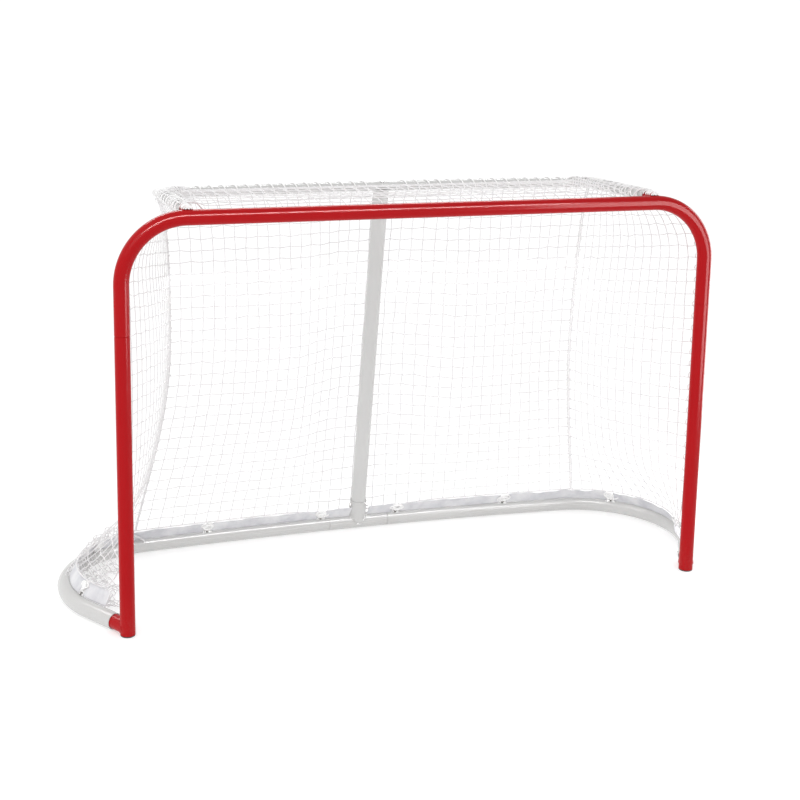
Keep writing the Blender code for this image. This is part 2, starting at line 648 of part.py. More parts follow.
def side_surface(side):
    """A side of the net, from the lacing rod on the post back to the rear corner."""
    step = PANEL_GAP / 2
    bend_x, bend_z = POST_X - BEND_RADIUS, BAR_Z - BEND_RADIUS
    top_angle = math.acos((net_edge() - bend_x) / BEND_RADIUS)
    foot = net_foot(NET_FRONT_FOOT)
    straight = bend_z - foot.z
    length = straight + BEND_RADIUS * top_angle
    def front(v):
        run = v * length
        if run <= straight:
            beside_rod = Vector((-POST_X, NET_FRONT_Y, foot.z + run))
            return between(beside_rod, foot + Vector((0, 0, run)), (1 - run / straight) ** NET_DRAW)
        angle = (run - straight) / BEND_RADIUS
        across, up = BEND_RADIUS * math.cos(angle), BEND_RADIUS * math.sin(angle)
        return Vector((-bend_x - across, NET_FRONT_Y, bend_z + up))
    rear = lambda v: crease(-1, v) - Vector((0, step, 0))
    bottom = lambda u: net_foot(between(NET_FRONT_FOOT, CREASE_ALONG, u)) - Vector((0, step * u, 0))
    top = lambda u: between(front(1), rear(1), u)
    patch = coons(front, rear, bottom, top)
    def surface(u, v):
        u = u if side < 0 else 1 - u
        place = patch(u, v)
        place.x += SIDE_SAG * math.sin(math.pi * u) * math.sin(math.pi * v)
        return Vector((place.x * -side, place.y, place.z))
    return surface


def top_surface():
    """The top of the net, from behind the crossbar over the shelf, with the back net's columns."""
    lift = SHELF_Z + SHELF_TUBE / 2 + NET_CORD / 2 + 2 * GAP
    half = net_edge() - PANEL_GAP / 2
    front_y = NET_FRONT_Y + NET_CORD
    rear_y = lambda x: shelf_y(x) - BOLT_HEAD / 2 - NET_CORD
    left = lambda v: Vector((-half, between(front_y, rear_y(half), v), lift))
    right = lambda v: Vector((half, between(front_y, rear_y(half), v), lift))
    bottom = lambda u: Vector((half * (2 * u - 1), front_y, lift))
    top = lambda u: Vector((half * (2 * u - 1), rear_y(half * (2 * u - 1)), lift))
    patch = coons(left, right, bottom, top)
    def surface(u, v):
        sag = TOP_SAG * math.sin(math.pi * u) * math.sin(math.pi * v)
        return patch(u, v) - Vector((0, 0, sag))
    return surface


def net_panel(name, columns, rows, surface):
    """A panel of square netting: a flat grid laid on the surface and turned into cords."""
    grid = bmesh.new()
    bmesh.ops.create_grid(grid, x_segments=columns, y_segments=rows, size=0.5)
    for corner in grid.verts:
        corner.co = surface(corner.co.x + 0.5, corner.co.y + 0.5)
    mesh = bpy.data.meshes.new(name)
    grid.to_mesh(mesh)
    grid.free()
    panel = add_object(name, mesh, "net_white")
    cords = panel.modifiers.new("cords", "WIREFRAME")
    cords.thickness = NET_CORD
    cords.offset = 0
    cords.use_boundary = True
    cords.use_replace = True
    cords.use_even_offset = False
    return panel


def netting():
    """The four panels of the net."""
    net_panel("back_net", REAR_COLUMNS, NET_ROWS, back_surface())
    for side in (-1, 1):
        net_panel(side_name(side) + "_net", SIDE_COLUMNS, NET_ROWS, side_surface(side))
    net_panel("top_net", REAR_COLUMNS, TOP_ROWS, top_surface())


def least_gap(route, cord, clear_points):
    """The least space between a cord and itself, measured on segments that many points apart."""
    segments = list(zip(route, route[1:]))
    gaps = []
    for index, (start, end) in enumerate(segments):
        for other_start, other_end in segments[index + clear_points:]:
            for place in (other_start, between(other_start, other_end, 0.5)):
                nearest, share = geometry.intersect_point_line(place, start, end)
                nearest = between(start, end, max(0, min(1, share)))
                gaps.append((place - nearest).length - cord)
    return min(gaps)


def shelf_lacing():
    """Cords wound round the shelf's rear bar, beside the post, outside both net edges."""
    reach = SHELF_TUBE / 2 + 2 * NET_CORD + LACE_CORD / 2 + 4 * GAP
    reach /= math.cos(math.pi / LACE_TURN_POINTS)
    pitch = 2 * (net_edge() - PANEL_GAP / 2) / REAR_COLUMNS / LACES_PER_MESH
    for side in (-1, 1):
        route = []
        for step in range(int(LACE_TURNS * LACE_TURN_POINTS) + 1):
            turn = step / LACE_TURN_POINTS
            x = pitch * (math.ceil(LACE_TURNS) - turn + 1 - LACE_PHASE)
            angle = 2 * math.pi * turn
            back, up = reach * math.sin(angle), reach * math.cos(angle)
            route.append(Vector((side * x, shelf_y(x) + back, SHELF_Z + up)))
        rod(side_name(side) + "_shelf_lacing", route, LACE_CORD, "net_white", CORD_STEPS)
        gap = least_gap(route, LACE_CORD, LACE_TURN_POINTS // 2)
        print("least gap of the", side_name(side), "lacing to itself, in mm:", round(gap * 1000, 2))


def skirt_strip(name, start, end):
    """One length of the skirt: its foot lies along the rail's top and it leans inward."""
    reach = RAIL_TUBE / 2 + SKIRT_THICK / 2 + 2 * GAP
    steps = max(2, math.ceil((end - start) / SKIRT_STEP))
    strip = bmesh.new()
    bmesh.ops.create_grid(strip, x_segments=steps, y_segments=1, size=0.5)
    for corner in strip.verts:
        along = between(start, end, corner.co.x + 0.5)
        up = corner.co.y + 0.5
        wave = SKIRT_WAVE * math.sin(2 * math.pi * along / SKIRT_WAVELENGTH) * up
        inward = reach * math.sin(SKIRT_SEAT) + SKIRT_WIDTH * up * math.sin(SKIRT_LEAN) + wave
        height = RAIL_Z + reach * math.cos(SKIRT_SEAT) + SKIRT_WIDTH * up * math.cos(SKIRT_LEAN) + wave
        corner.co = base_point(along, inward, height)
    mesh = bpy.data.meshes.new(name)
    strip.to_mesh(mesh)
    strip.free()
    smooth(mesh)
    cloth = add_object(name, mesh, "skirt_cloth")
    sheet = cloth.modifiers.new("cloth", "SOLIDIFY")
    sheet.thickness = SKIRT_THICK
    sheet.offset = 0
    return cloth


def skirt():
    """The lengths of skirt on each side, with gaps for the ties and the socket."""
    marks = [SKIRT_FRONT, *TIES.values(), BASE_HALF - SOCKET_TUBE / 2 - SKIRT_REAR_CLEAR]
    names = [*TIES, "centre"]
    for side in (-1, 1):
        for name, first, last in zip(names, marks, marks[1:]):
            start = first if first == marks[0] else first + TIE_GAP
            end = last if last == marks[-1] else last - TIE_GAP
            if side > 0:
                start, end = 2 * BASE_HALF - end, 2 * BASE_HALF - start
            skirt_strip("%s_skirt_%s" % (side_name(side), name), start, end)


for leftover in list(bpy.data.objects):
    bpy.data.objects.remove(leftover)
PARTS = bpy.data.collections.new("roller_hockey_goal")
CUTTERS = bpy.data.collections.new("cutters")
for collection in (PARTS, CUTTERS):
    bpy.context.scene.collection.children.link(collection)

front_frame()
base_frame()
centre_post(shelf_frame())
lacing_rods()
netting()
shelf_lacing()
skirt()
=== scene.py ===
import json
import math

import bpy
import numpy as np
from mathutils import Matrix, Vector


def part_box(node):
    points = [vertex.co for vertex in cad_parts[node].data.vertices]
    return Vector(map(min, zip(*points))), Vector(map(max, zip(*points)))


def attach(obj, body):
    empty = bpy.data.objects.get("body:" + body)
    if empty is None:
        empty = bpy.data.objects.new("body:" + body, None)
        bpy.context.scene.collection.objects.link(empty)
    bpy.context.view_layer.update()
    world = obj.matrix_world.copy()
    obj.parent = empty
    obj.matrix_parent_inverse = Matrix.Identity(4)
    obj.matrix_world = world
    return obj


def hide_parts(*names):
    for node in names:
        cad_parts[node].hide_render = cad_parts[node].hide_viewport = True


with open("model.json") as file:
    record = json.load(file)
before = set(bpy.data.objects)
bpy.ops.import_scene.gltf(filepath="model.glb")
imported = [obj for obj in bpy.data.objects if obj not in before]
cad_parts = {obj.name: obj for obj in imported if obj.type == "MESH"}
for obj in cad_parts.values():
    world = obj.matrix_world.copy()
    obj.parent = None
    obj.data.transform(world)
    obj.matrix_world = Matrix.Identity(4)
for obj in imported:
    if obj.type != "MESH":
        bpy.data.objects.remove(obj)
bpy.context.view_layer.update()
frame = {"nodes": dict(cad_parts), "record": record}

RANDOM = np.random.default_rng(7)

# Tubes
FRAME_TUBE, FRAME_WALL = 0.046, 0.002
RAIL_TUBE, RAIL_WALL = 0.051, 0.002
SHELF_TUBE, SHELF_WALL = 0.032, 0.002
SOCKET_TUBE, SOCKET_HEIGHT = 0.0585, 0.058
POST_TUBE, POST_WALL, POST_SEAT = 0.051, 0.002, 0.008
POST_LAP = 0.004                 # how far the leaning post's top reaches up beside the shelf's bar
FIT_GAP = 0.0008
GAP = 0.0003                     # between pieces that lie against each other
EDGE = 0.0006                    # break of a cut tube's outer edge
ROUND, SHELF_ROUND, STUB_ROUND = 56, 44, 40  # sides of a tube

# Welds, plugs and screws
FOOT_WELD, SHELF_WELD, SOCKET_WELD = 0.0045, 0.004, 0.005
WELD_RIPPLE, RIPPLE_POINTS = 0.14, 5
STUB_WELD_POINTS, SOCKET_WELD_POINTS = 120, 150
WELD_LOW, SOCKET_WELD_OUT = 0.003, 0.001
PLUG_EDGE, PLUG_FLANGE, PLUG_BREAK, PLUG_DEPTH = 0.003, 0.004, 0.0002, 0.022
SCREW_SHANK, SCREW_LENGTH, SCREW_HEAD, SCREW_DOME, SCREW_SOCKET = 0.005, 0.012, 0.0095, 0.0028, 0.0017

# Front frame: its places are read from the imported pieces, and its bends have this radius
PLUG_LOW, PLUG_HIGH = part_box("right_foot_plug")
POST_LOW, POST_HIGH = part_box("right_post")
BAR_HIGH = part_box("crossbar")[1]
POST_X = (PLUG_LOW.x + PLUG_HIGH.x) / 2
BAR_Z = BAR_HIGH.z - FRAME_TUBE / 2
SEAM_Z = POST_HIGH.z
BEND_RADIUS = 0.19
BEND_X, BEND_Z = POST_X - BEND_RADIUS, BAR_Z - BEND_RADIUS
POST_MARKS = 0.3, 0.6            # heights of a post tube's inner rings

# Base: the middle line of its tubes
RAIL_Z = RAIL_TUBE / 2
RAIL_FLARE, RAIL_BOW = math.radians(31), math.radians(4.5)
SIDE_RUN, CORNER_RADIUS = 0.19, 0.32
RAIL_START, STUB_COVER = 0.060, 0.07
CENTRE_TUBE_LENGTH, BASE_SEAM = 0.22, 0.0016
CORNER_LENGTH = CORNER_RADIUS * (math.pi / 2 + RAIL_FLARE - RAIL_BOW)
REAR_X = POST_X + SIDE_RUN * math.sin(RAIL_FLARE)
REAR_X -= CORNER_RADIUS * (math.cos(RAIL_FLARE) - math.sin(RAIL_BOW))
REAR_RADIUS = REAR_X / math.sin(RAIL_BOW)
REAR_LENGTH = 2 * REAR_RADIUS * RAIL_BOW
BASE_HALF = SIDE_RUN + CORNER_LENGTH + REAR_RADIUS * RAIL_BOW

# Shelf
SHELF_RISE, SHELF_INSET = 0.02, 0.003
SHELF_Z = BAR_Z + SHELF_RISE
SHELF_X = BEND_X - SHELF_INSET
SHELF_DEPTH, SHELF_BOW, SHELF_CORNER = 0.44, 0.03, 0.07
SHELF_START, SHELF_STUB_COVER = 0.05, 0.05
SHELF_TURN_X = SHELF_X - SHELF_CORNER

# Rods behind the front frame
ROD, ROD_STAND = 0.006, 0.008
ROD_Y = FRAME_TUBE / 2 + ROD_STAND + ROD / 2
ROD_FOOT, ROD_CORNER, ROD_TIP = 0.10, 0.008, 0.004
ROD_END_CLEAR = 0.012

# Sizes of the netting
TWINE = 0.0030
KNOT, KNOT_STRETCH = 0.0024, 1.3  # half of a knot's width, and its length over its width
BORDER = 0.0045                  # edge cord
NET_CORD = 0.004                 # the net's cord as the solids have it
BACK_COLUMNS, SIDE_COLUMNS, NET_ROWS, TOP_ROWS = 39, 15, 31, 10
PANEL_GAP = 0.009
CREASE_ALONG, CREASE_SAG, CREASE_LOW = 0.80, 0.05, 0.25
CREASE_TUCK, CREASE_TUCK_FULL = 0.04, 0.55  # how far it is drawn in, and from what share of the height
CREASE_PULL = np.array([0.8, -0.6, 0])
BACK_SAG, SIDE_SAG, TOP_SAG = 0.035, 0.03, 0.012
POST_PUSH, POST_PUSH_FLAT, POST_PUSH_TOP = 0.30, 0.06, 0.04
NET_FRONT_Y = ROD_Y + (ROD + NET_CORD) / 2 + GAP
NET_EDGE = SHELF_X + SHELF_TUBE / 2 + NET_CORD / 2 + 2 * GAP  # half of its width at the shelf
NET_FOOT_BEHIND, NET_FOOT_DROP = 0.004, 0.6
NET_FRONT_FOOT, NET_DRAW = 0.16, 14
SIDE_FLARE_TOP = 0.13            # share of the height in which the sides spread out to the base
TOP_EASE = 0.04                  # width in which an edge's drop fades out
TOP_FRONT_OVER, TOP_REAR_OVER, TOP_CORNER_OVER = 0.004, 0.002, 0.003
TOP_REAR_SHORT, TOP_REAR_TUCK = 0.012, 0.008
TOP_CORNER_OUT, TOP_CORNER_RUN = 0.026, 0.05
TOP_CORNER_REACH, TOP_CORNER_FALL = 0.078, 0.022

# Spare netting at the left corner: the part that stands in a heap and the part that fell on the floor
HEAP_START, HEAP_END, HEAP_HIGH, HEAP_IN = 0.42, 0.84, 0.07, 0.03
HEAP_COLUMNS, HEAP_ROWS, HEAP_FOLDS, HEAP_FOLD_DEEP = 34, 6, 9, 0.022
FALLEN_START, FALLEN_END, FALLEN_WIDE, FALLEN_IN = 0.16, 0.66, 0.14, 0.030
FALLEN_COLUMNS, FALLEN_ROWS, FALLEN_LOW, FALLEN_SLOPE = 22, 7, 0.014, 0.05
FALLEN_WAVE, FALLEN_RIPPLE = 0.006, 0.004
SPARE_WANDER, SPARE_ZIGZAG = 0.08, 0.1

# Sizes of the lacing
LACE_CORD, LACE_PITCH = 0.004, 0.040
BAR_LACE_START, BAR_LACE_END = 0.045, 0.655
ARM_LACE_START, ARM_LACE_END, ARM_LACE_PITCH, ARM_LACE_BACK = 0.055, 0.385, 0.045, 0.8
ARM_LACE_RISE = 0.001
LOOPS_START, LOOPS_END, LOOPS = -0.004, 0.046, 12
LOOP_SWING, LOOP_RISE = math.radians(70), 0.001
CAP_TURNS, CAP_REACH = 4, 0.0055  # of the loops that close the stub's end
CORNER_LOOPS = 9
THIN_LACE_REACH, CREASE_LACE, POST_LACE = 0.0085, 0.0026, 0.0032
POST_LACE_LOW, POST_LACE_STRAY = 0.13, 0.004

# Sizes of the skirt, the ties and their studs
SKIRT_WIDTH, SKIRT_THICK = 0.052, 0.0012
SKIRT_SEAT, SKIRT_LEAN = math.radians(28), math.radians(32)
SKIRT_REACH = RAIL_TUBE / 2 + SKIRT_THICK / 2 + 2 * GAP
SKIRT_FRONT, SKIRT_REAR_CLEAR, TIE_GAP = 0.12, 0.004, 0.015
SKIRT_WAVE, SKIRT_RIPPLE, SKIRT_CURL, SKIRT_STEP = 0.17, 0.067, 0.004, 0.006
TAUT_FLUTTER, LOOSE_FLUTTER = 0.0018, 0.0035
TIES = {"front": 0.25, "side": 0.64, "corner": BASE_HALF - 0.56,
        "rear": BASE_HALF - CENTRE_TUBE_LENGTH / 2 - 0.032}
TIE_CORD, TIE_TURNS = 0.0055, 6.5
TIE_RISE, TIE_OUT, TIE_WIDE, TIE_TALL = 0.031, 0.001, 0.018, 0.012
TIE_WIDE_SWELL, TIE_TALL_SWELL, TIE_DRIFT, TIE_GATHER = 0.006, 0.004, 0.004, 0.3
TAIL_FROM, TAIL_WIDE, TAIL_TALL, TAIL_RISE = 0.93, 0.007, 0.003, 0.004
TIE_SHIFT, SIDE_SHIFT = 0.137, 0.31  # of the waves, from tie to tie and from side to side
STUD = ((0, -0.001), (0.003, -0.001), (0.003, 0.0072), (0.0062, 0.0072), (0.006, 0.009), (0.004, 0.0102),
        (0, 0.0104))             # radius and height

# Camera, fitted to the photograph
PICTURE, FILM = 800, 36
CAMERA_PLACE = (-1.4961, -3.7927, 1.7644)
CAMERA_YAW, CAMERA_PITCH, CAMERA_ROLL = 0.2932, -0.1869, 0.0079
FOCAL_PIXELS = 1365.9
AXIS_PIXEL = (320.0, 290.0)      # where the camera's own axis meets the picture

# Studio. A lamp has its place, target, size, watts, and whether matt surfaces take its light too
FLOOR_REACH, FLOOR_SHADE, FLOOR_GLOW = 90.0, 0.6, 0.45
SURROUND, SURROUND_SLOPE, SURROUND_DIM = 1.1, -0.5, -0.1
LAMPS = {"front_strip": ((-0.1, -1.7, 2.5), (-0.1, 0, 1.2), (3.3, 0.34), 230, False),
         "top_strip": ((0.0, 1.5, 2.6), (0, 0.6, 0.05), (3.3, 0.30), 60, False),
         "base_strip": ((0.0, 0.62, 1.0), (0, 0.621, 0), (3.3, 0.5), 85, False),
         "soft_front": ((-2.6, -2.6, 3.2), (0, 0, 1.2), (2.6, 2.0), 28, True),
         "right_side": ((2.1, 0.35, 1.0), (POST_X, 0, 0.9), (0.4, 1.6), 13, True),
         "right_softbox": ((2.15, -1.85, 1.15), (POST_X, 0, 0.95), (1.6, 2.4), 176, False)}

UP = np.array([0, 0, 1.0])
SIDEWAYS = np.array([1.0, 0, 0])


def srgb(red, green, blue):
    """A display colour as linear values: c / 12.92 when dark, ((c + 0.055) / 1.055) ^ 2.4 otherwise."""
    share = np.array([red, green, blue]) / 255
    linear = np.where(share <= 0.04045, share / 12.92, ((share + 0.055) / 1.055) ** 2.4)
    return (*linear.tolist(), 1.0)


# Shapes

def unit(vectors):
    """v / |v|"""
    return vectors / np.linalg.norm(vectors, axis=-1, keepdims=True)


def run_of(path):
    """Distance along each path: the running sum of |p(i+1) - p(i)|."""
    steps = np.linalg.norm(np.diff(path, axis=-2), axis=-1)
    return np.concatenate([np.zeros(steps.shape[:-1] + (1,)), np.cumsum(steps, axis=-1)], axis=-1)


def across(path, hint, closed=False):
    """Two directions square to each path: side = tangent x hint, lift = side x tangent."""
    if closed:
        tangent = unit(np.roll(path, -1, axis=-2) - np.roll(path, 1, axis=-2))
    else:
        tangent = unit(np.gradient(path, axis=-2))
    side = unit(np.cross(tangent, np.broadcast_to(hint, tangent.shape)))
    return side, np.cross(side, tangent)


def grid_faces(rows, columns, around, closed=False):
    """Quads (r, c), (r+1, c), (r+1, c+1), (r, c+1) of a grid, and where each corner is in it."""
    row = np.arange(rows if closed else rows - 1)[:, None]
    column = np.arange(columns if around else columns - 1)[None, :]
    corners = [(row, column), (row + 1, column), (row + 1, column + 1), (row, column + 1)]
    faces = np.stack([(r % rows) * columns + c % columns for r, c in corners], axis=-1)
    places = np.stack([np.stack(np.broadcast_arrays(r, c), axis=-1) for r, c in corners], axis=-2)
    return faces.reshape(-1, 4), places.reshape(-1, 4, 2)


def round_of(angle, side, lift):
    """cos a side + sin a lift, for each angle."""
    return np.cos(angle)[:, None] * side + np.sin(angle)[:, None] * lift


def rings(path, radius, hint, sides, closed=False):
    """Points p + r (cos a side + sin a lift) round each path, a running once round."""
    side, lift = across(path, hint, closed)
    angle = np.arange(sides) / sides * 2 * np.pi
    radius = np.broadcast_to(radius, path.shape[:-1])[..., None, None]
    return path[..., None, :] + radius * round_of(angle, side[..., None, :], lift[..., None, :])


def skin_of(grid, run, closed=False, caps=True):
    """One surface (points, quads, quad UVs, caps) from rings; u is metres along, v the turn."""
    rows, sides = grid.shape[:2]
    faces, places = grid_faces(rows, sides, True, closed)
    metres = np.append(run, 2 * run[-1] - run[-2])
    uvs = np.stack([metres[places[..., 0]], places[..., 1] / sides], axis=-1)
    ends = []
    if caps and not closed:
        ends = [np.arange(sides).tolist(), ((rows - 1) * sides + np.arange(sides)[::-1]).tolist()]
    return grid.reshape(-1, 3), faces, uvs, ends


def cords(paths, radius, hint, sides):
    """Many round cords at once: paths (cords, points, 3), each with rings of the radius and flat ends."""
    return [skin_of(grid, run) for grid, run in zip(rings(paths, radius, hint, sides), run_of(paths))]


def cord(path, radius, hint, sides=8):
    """One round cord along a path (points, 3)."""
    return cords(np.asarray(path)[None], radius, hint, sides)


def hollow_tube(path, diameter, wall, hint, sides=ROUND):
    """A tube with its bore: rings out along the outside, with a broken edge at each end, and back inside."""
    path = np.asarray(path, float)
    start, end = unit(path[1] - path[0]), unit(path[-1] - path[-2])
    outer = np.concatenate([path[:1], path[:1] + start * EDGE, path[1:-1], path[-1:] - end * EDGE, path[-1:]])
    radius = np.full(len(outer), diameter / 2)
    radius[[0, -1]] -= EDGE
    inner = path[::-1]
    skin = rings(outer, radius, hint, sides)
    bore = rings(inner, diameter / 2 - wall, hint, sides)[:, (-np.arange(sides) + sides // 2) % sides]
    grid = np.concatenate([skin, bore])
    run = run_of(outer)
    return [skin_of(grid, np.concatenate([run, run[-1] + wall + run_of(inner)]), closed=True)]


def coped_tube(axis_start, axis, diameter, wall, low, high, hint, sides=ROUND):
    """A straight tube whose ends follow low(offset) and high(offset), distances along the axis."""
    side = unit(np.cross(axis, hint))
    lift = np.cross(side, axis)
    angle = np.arange(sides) / sides * 2 * np.pi
    def ring(radius, level, inset):
        offset = radius * round_of(angle, side, lift)
        along = level(offset) + inset
        return axis_start + offset + along[:, None] * axis
    outer, bore = diameter / 2, diameter / 2 - wall
    levels = [ring(outer - EDGE, low, 0), ring(outer, low, EDGE), ring(outer, high, -EDGE),
              ring(outer - EDGE, high, 0), ring(bore, high, 0), ring(bore, low, 0)]
    grid = np.stack(levels)
    run = np.concatenate([[0], np.cumsum(np.linalg.norm(np.diff(grid[:, 0], axis=0), axis=-1))])
    return [skin_of(grid, run, closed=True)]


def pole_fans(points, sides):
    """Triangles from two poles, the last two points, to the first and the last ring of a grid."""
    first = np.arange(sides)
    second = (first + 1) % sides
    start = points - 2
    last = start - sides
    return np.concatenate([np.stack([0 * first + start, first, second], axis=-1),
                           np.stack([0 * first + start + 1, last + second, last + first], axis=-1)])


def turned(profile, place, axis, sides):
    """A turned piece: (radius, height) pairs, the first and last on the axis, spun round it."""
    profile = np.asarray(profile, float)
    path = np.asarray(place) + profile[:, 1:] * np.asarray(axis)
    hint = SIDEWAYS if abs(axis[0]) < 0.7 else np.array([0, 1.0, 0])
    side = unit(np.cross(axis, hint))
    lift = np.cross(side, axis)
    angle = np.arange(sides) / sides * 2 * np.pi
    spokes = round_of(angle, side, lift)
    grid = path[1:-1, None] + profile[1:-1, :1, None] * spokes
    points, faces, uvs, _ = skin_of(grid, run_of(profile)[1:-1], caps=False)
    points = np.concatenate([points, path[:1], path[-1:]])
    return [(points, faces, uvs, pole_fans(len(points), sides).tolist())]


def beads(centres, radius, stretch, axes, rows=4, sides=6):
    """Small closed bumps, all of one form: c + R (r sin b cos a, r sin b sin a, stretch r cos b)."""
    polar = np.linspace(0, np.pi, rows + 1)[1:-1]
    angle = np.arange(sides) / sides * 2 * np.pi
    form = np.stack([np.sin(polar)[:, None] * np.cos(angle), np.sin(polar)[:, None] * np.sin(angle),
                     stretch * np.cos(polar)[:, None] + 0 * angle], axis=-1).reshape(-1, 3)
    form = np.concatenate([form, [[0, 0, stretch], [0, 0, -stretch]]]) * radius
    points = centres[:, None] + np.einsum("pk,ckd->cpd", form, axes)
    quads, _ = grid_faces(rows - 1, sides, True)
    fans = pole_fans(len(form), sides)
    count = len(centres)
    shift = (np.arange(count) * len(form))[:, None, None]
    quads = (quads + shift).reshape(-1, 4)
    fans = (fans + shift).reshape(-1, 3)
    uvs = np.tile([0.0, 0.5], (len(quads), 4, 1))
    return [(points.reshape(-1, 3), quads, uvs, fans.tolist())]


def sheet_skin(grid, width, length):
    """An open sheet from a grid of points; its UVs are metres along and across."""
    rows, columns = grid.shape[:2]
    faces, places = grid_faces(rows, columns, False)
    uvs = places / [rows - 1, columns - 1] * [length, width]
    return [(grid.reshape(-1, 3), faces, uvs, [])]


def piece(name, skins, slot, stands_for=(), crisp=False):
    """Joins surfaces into one mesh object, with its UVs, finish and place in the frame; a crisp one keeps its
    edges sharp where the surface turns by more than 35 degrees."""
    offsets = np.cumsum([0] + [len(points) for points, _, _, _ in skins])
    points = np.concatenate([points for points, _, _, _ in skins])
    faces = np.concatenate([quads + offset for (_, quads, _, _), offset in zip(skins, offsets)]).tolist()
    corner_uvs = [uvs.reshape(-1, 2) for _, _, uvs, _ in skins]
    for (_, _, _, ends), offset in zip(skins, offsets):
        for end in ends:
            faces.append((np.array(end) + offset).tolist())
            corner_uvs.append(np.tile([0.0, 0.5], (len(end), 1)))
    mesh = bpy.data.meshes.new(name)
    mesh.from_pydata(points.tolist(), [], faces)
    layer = mesh.uv_layers.new(name="surface")
    layer.data.foreach_set("uv", np.concatenate(corner_uvs).astype(np.float32).ravel())
    mesh.polygons.foreach_set("use_smooth", np.ones(len(faces), bool))
    mesh.materials.append(FINISHES[slot])
    if crisp:
        mesh.set_sharp_from_angle(angle=math.radians(35))
    made = bpy.data.objects.new(name, mesh)
    bpy.context.scene.collection.objects.link(made)
    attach(made, "root")
    if stands_for:
        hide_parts(*stands_for)
    return made


def eased(share):
    """0 below 0 and 1 above 1, smooth between: 3 s^2 - 2 s^3."""
    share = np.clip(share, 0, 1)
    return share * share * (3 - 2 * share)


def half_chord(radius, away):
    """How far a circle reaches at a distance from its middle: sqrt(r^2 - d^2)."""
    return np.sqrt(np.maximum(radius ** 2 - away ** 2, 0))


def square_end(distance):
    """An end cut square across a tube, at a distance along it."""
    return lambda offset: distance + 0 * offset[:, 0]


def arc(centre, radius, start, end, count):
    """centre + radius (cos a, sin a), with a from start to end."""
    angle = np.linspace(start, end, count)
    return np.stack([centre[0] + radius * np.cos(angle), centre[1] + radius * np.sin(angle)], axis=-1)


def fillets(points, radius, count=8):
    """A path with each inner corner rounded by a quadratic arc: (1-t)^2 a + 2t(1-t) b + t^2 c."""
    points = np.asarray(points, float)
    made = [points[:1]]
    share = np.linspace(0, 1, count)[:, None]
    for before, corner, after in zip(points, points[1:], points[2:]):
        a = corner + unit(before - corner) * radius
        c = corner + unit(after - corner) * radius
        made.append((1 - share) ** 2 * a + 2 * share * (1 - share) * corner + share ** 2 * c)
    made.append(points[-1:])
    return np.concatenate(made)


# Routes of the frame

BASE_MARKS = np.linspace(0, 2 * BASE_HALF, 8001)
BASE_HEADINGS = (math.pi / 2 + RAIL_FLARE
                 - np.clip(BASE_MARKS - SIDE_RUN, 0, CORNER_LENGTH) / CORNER_RADIUS
                 - np.clip(BASE_MARKS - SIDE_RUN - CORNER_LENGTH, 0, REAR_LENGTH) / REAR_RADIUS
                 - np.clip(BASE_MARKS - SIDE_RUN - CORNER_LENGTH - REAR_LENGTH, 0, CORNER_LENGTH)
                 / CORNER_RADIUS)


def running_sum(values):
    """The integral of values along the base, by trapezia."""
    step = BASE_MARKS[1] - BASE_MARKS[0]
    return np.concatenate([[0], np.cumsum((values[1:] + values[:-1]) / 2) * step])


BASE_X = running_sum(np.cos(BASE_HEADINGS)) - POST_X
BASE_Y = running_sum(np.sin(BASE_HEADINGS))


def base_place(along, inward=0.0, height=RAIL_Z):
    """A place beside the base's middle line: (x, y) + inward (sin h, -cos h), h being the heading."""
    x, y, heading = (np.interp(along, BASE_MARKS, table) for table in (BASE_X, BASE_Y, BASE_HEADINGS))
    return np.stack(np.broadcast_arrays(x + inward * np.sin(heading), y - inward * np.cos(heading),
                                        height + 0 * x), axis=-1)


def mirrored(points, side):
    """The same points on the left (side -1) or the right (side 1), x being turned over."""
    return points * np.array([-side, 1, 1])


def shelf_y(x):
    """The shelf's rear bar: an arc that bulges by SHELF_BOW at its middle."""
    radius = (SHELF_X ** 2 + SHELF_BOW ** 2) / (2 * SHELF_BOW)
    return SHELF_DEPTH + SHELF_BOW - radius + np.sqrt(radius ** 2 - np.square(x))


FOOT = base_place(BASE_HALF)
HEAD = np.array([0, shelf_y(0), SHELF_Z])
LEAN = unit(HEAD - FOOT)
SHELF_TURN_Y = shelf_y(SHELF_TURN_X) - SHELF_CORNER


def side_name(side):
    """The word for side -1 or 1."""
    return "left" if side < 0 else "right"


# Finishes

def new_group(name, inputs, outputs):
    """A shader node group with named inputs (type, default) and outputs (type)."""
    tree = bpy.data.node_groups.new(name, "ShaderNodeTree")
    for label, (kind, value) in inputs.items():
        socket = tree.interface.new_socket(label, in_out="INPUT", socket_type=kind)
        socket.default_value = value
    for label, kind in outputs.items():
        tree.interface.new_socket(label, in_out="OUTPUT", socket_type=kind)
    return tree, tree.nodes.new("NodeGroupInput"), tree.nodes.new("NodeGroupOutput")


def math_node(tree, operation, *values, clamp=False):
    """One sum of up to three values, each a socket or a number."""
    node = tree.nodes.new("ShaderNodeMath")
    node.operation = operation
    node.use_clamp = clamp
    for index, value in enumerate(values):
        if isinstance(value, (int, float)):
            node.inputs[index].default_value = value
        else:
            tree.links.new(value, node.inputs[index])
    return node.outputs[0]


def noise(tree, vector, scale, detail, roughness):
    """Cloudy noise, 0 to 1, of a scale given in cycles per metre."""
    node = tree.nodes.new("ShaderNodeTexNoise")
    tree.links.new(vector, node.inputs["Vector"])
    for label, value in (("Scale", scale), ("Detail", detail), ("Roughness", roughness)):
        node.inputs[label].default_value = value
    return node.outputs["Fac"]


def ramp(tree, value, low, high):
    """0 below low and 1 above high, smooth between."""
    node = tree.nodes.new("ShaderNodeMapRange")
    node.interpolation_type = "SMOOTHSTEP"
    tree.links.new(value, node.inputs["Value"])
    node.inputs["From Min"].default_value = low
    node.inputs["From Max"].default_value = high
    return node.outputs["Result"]


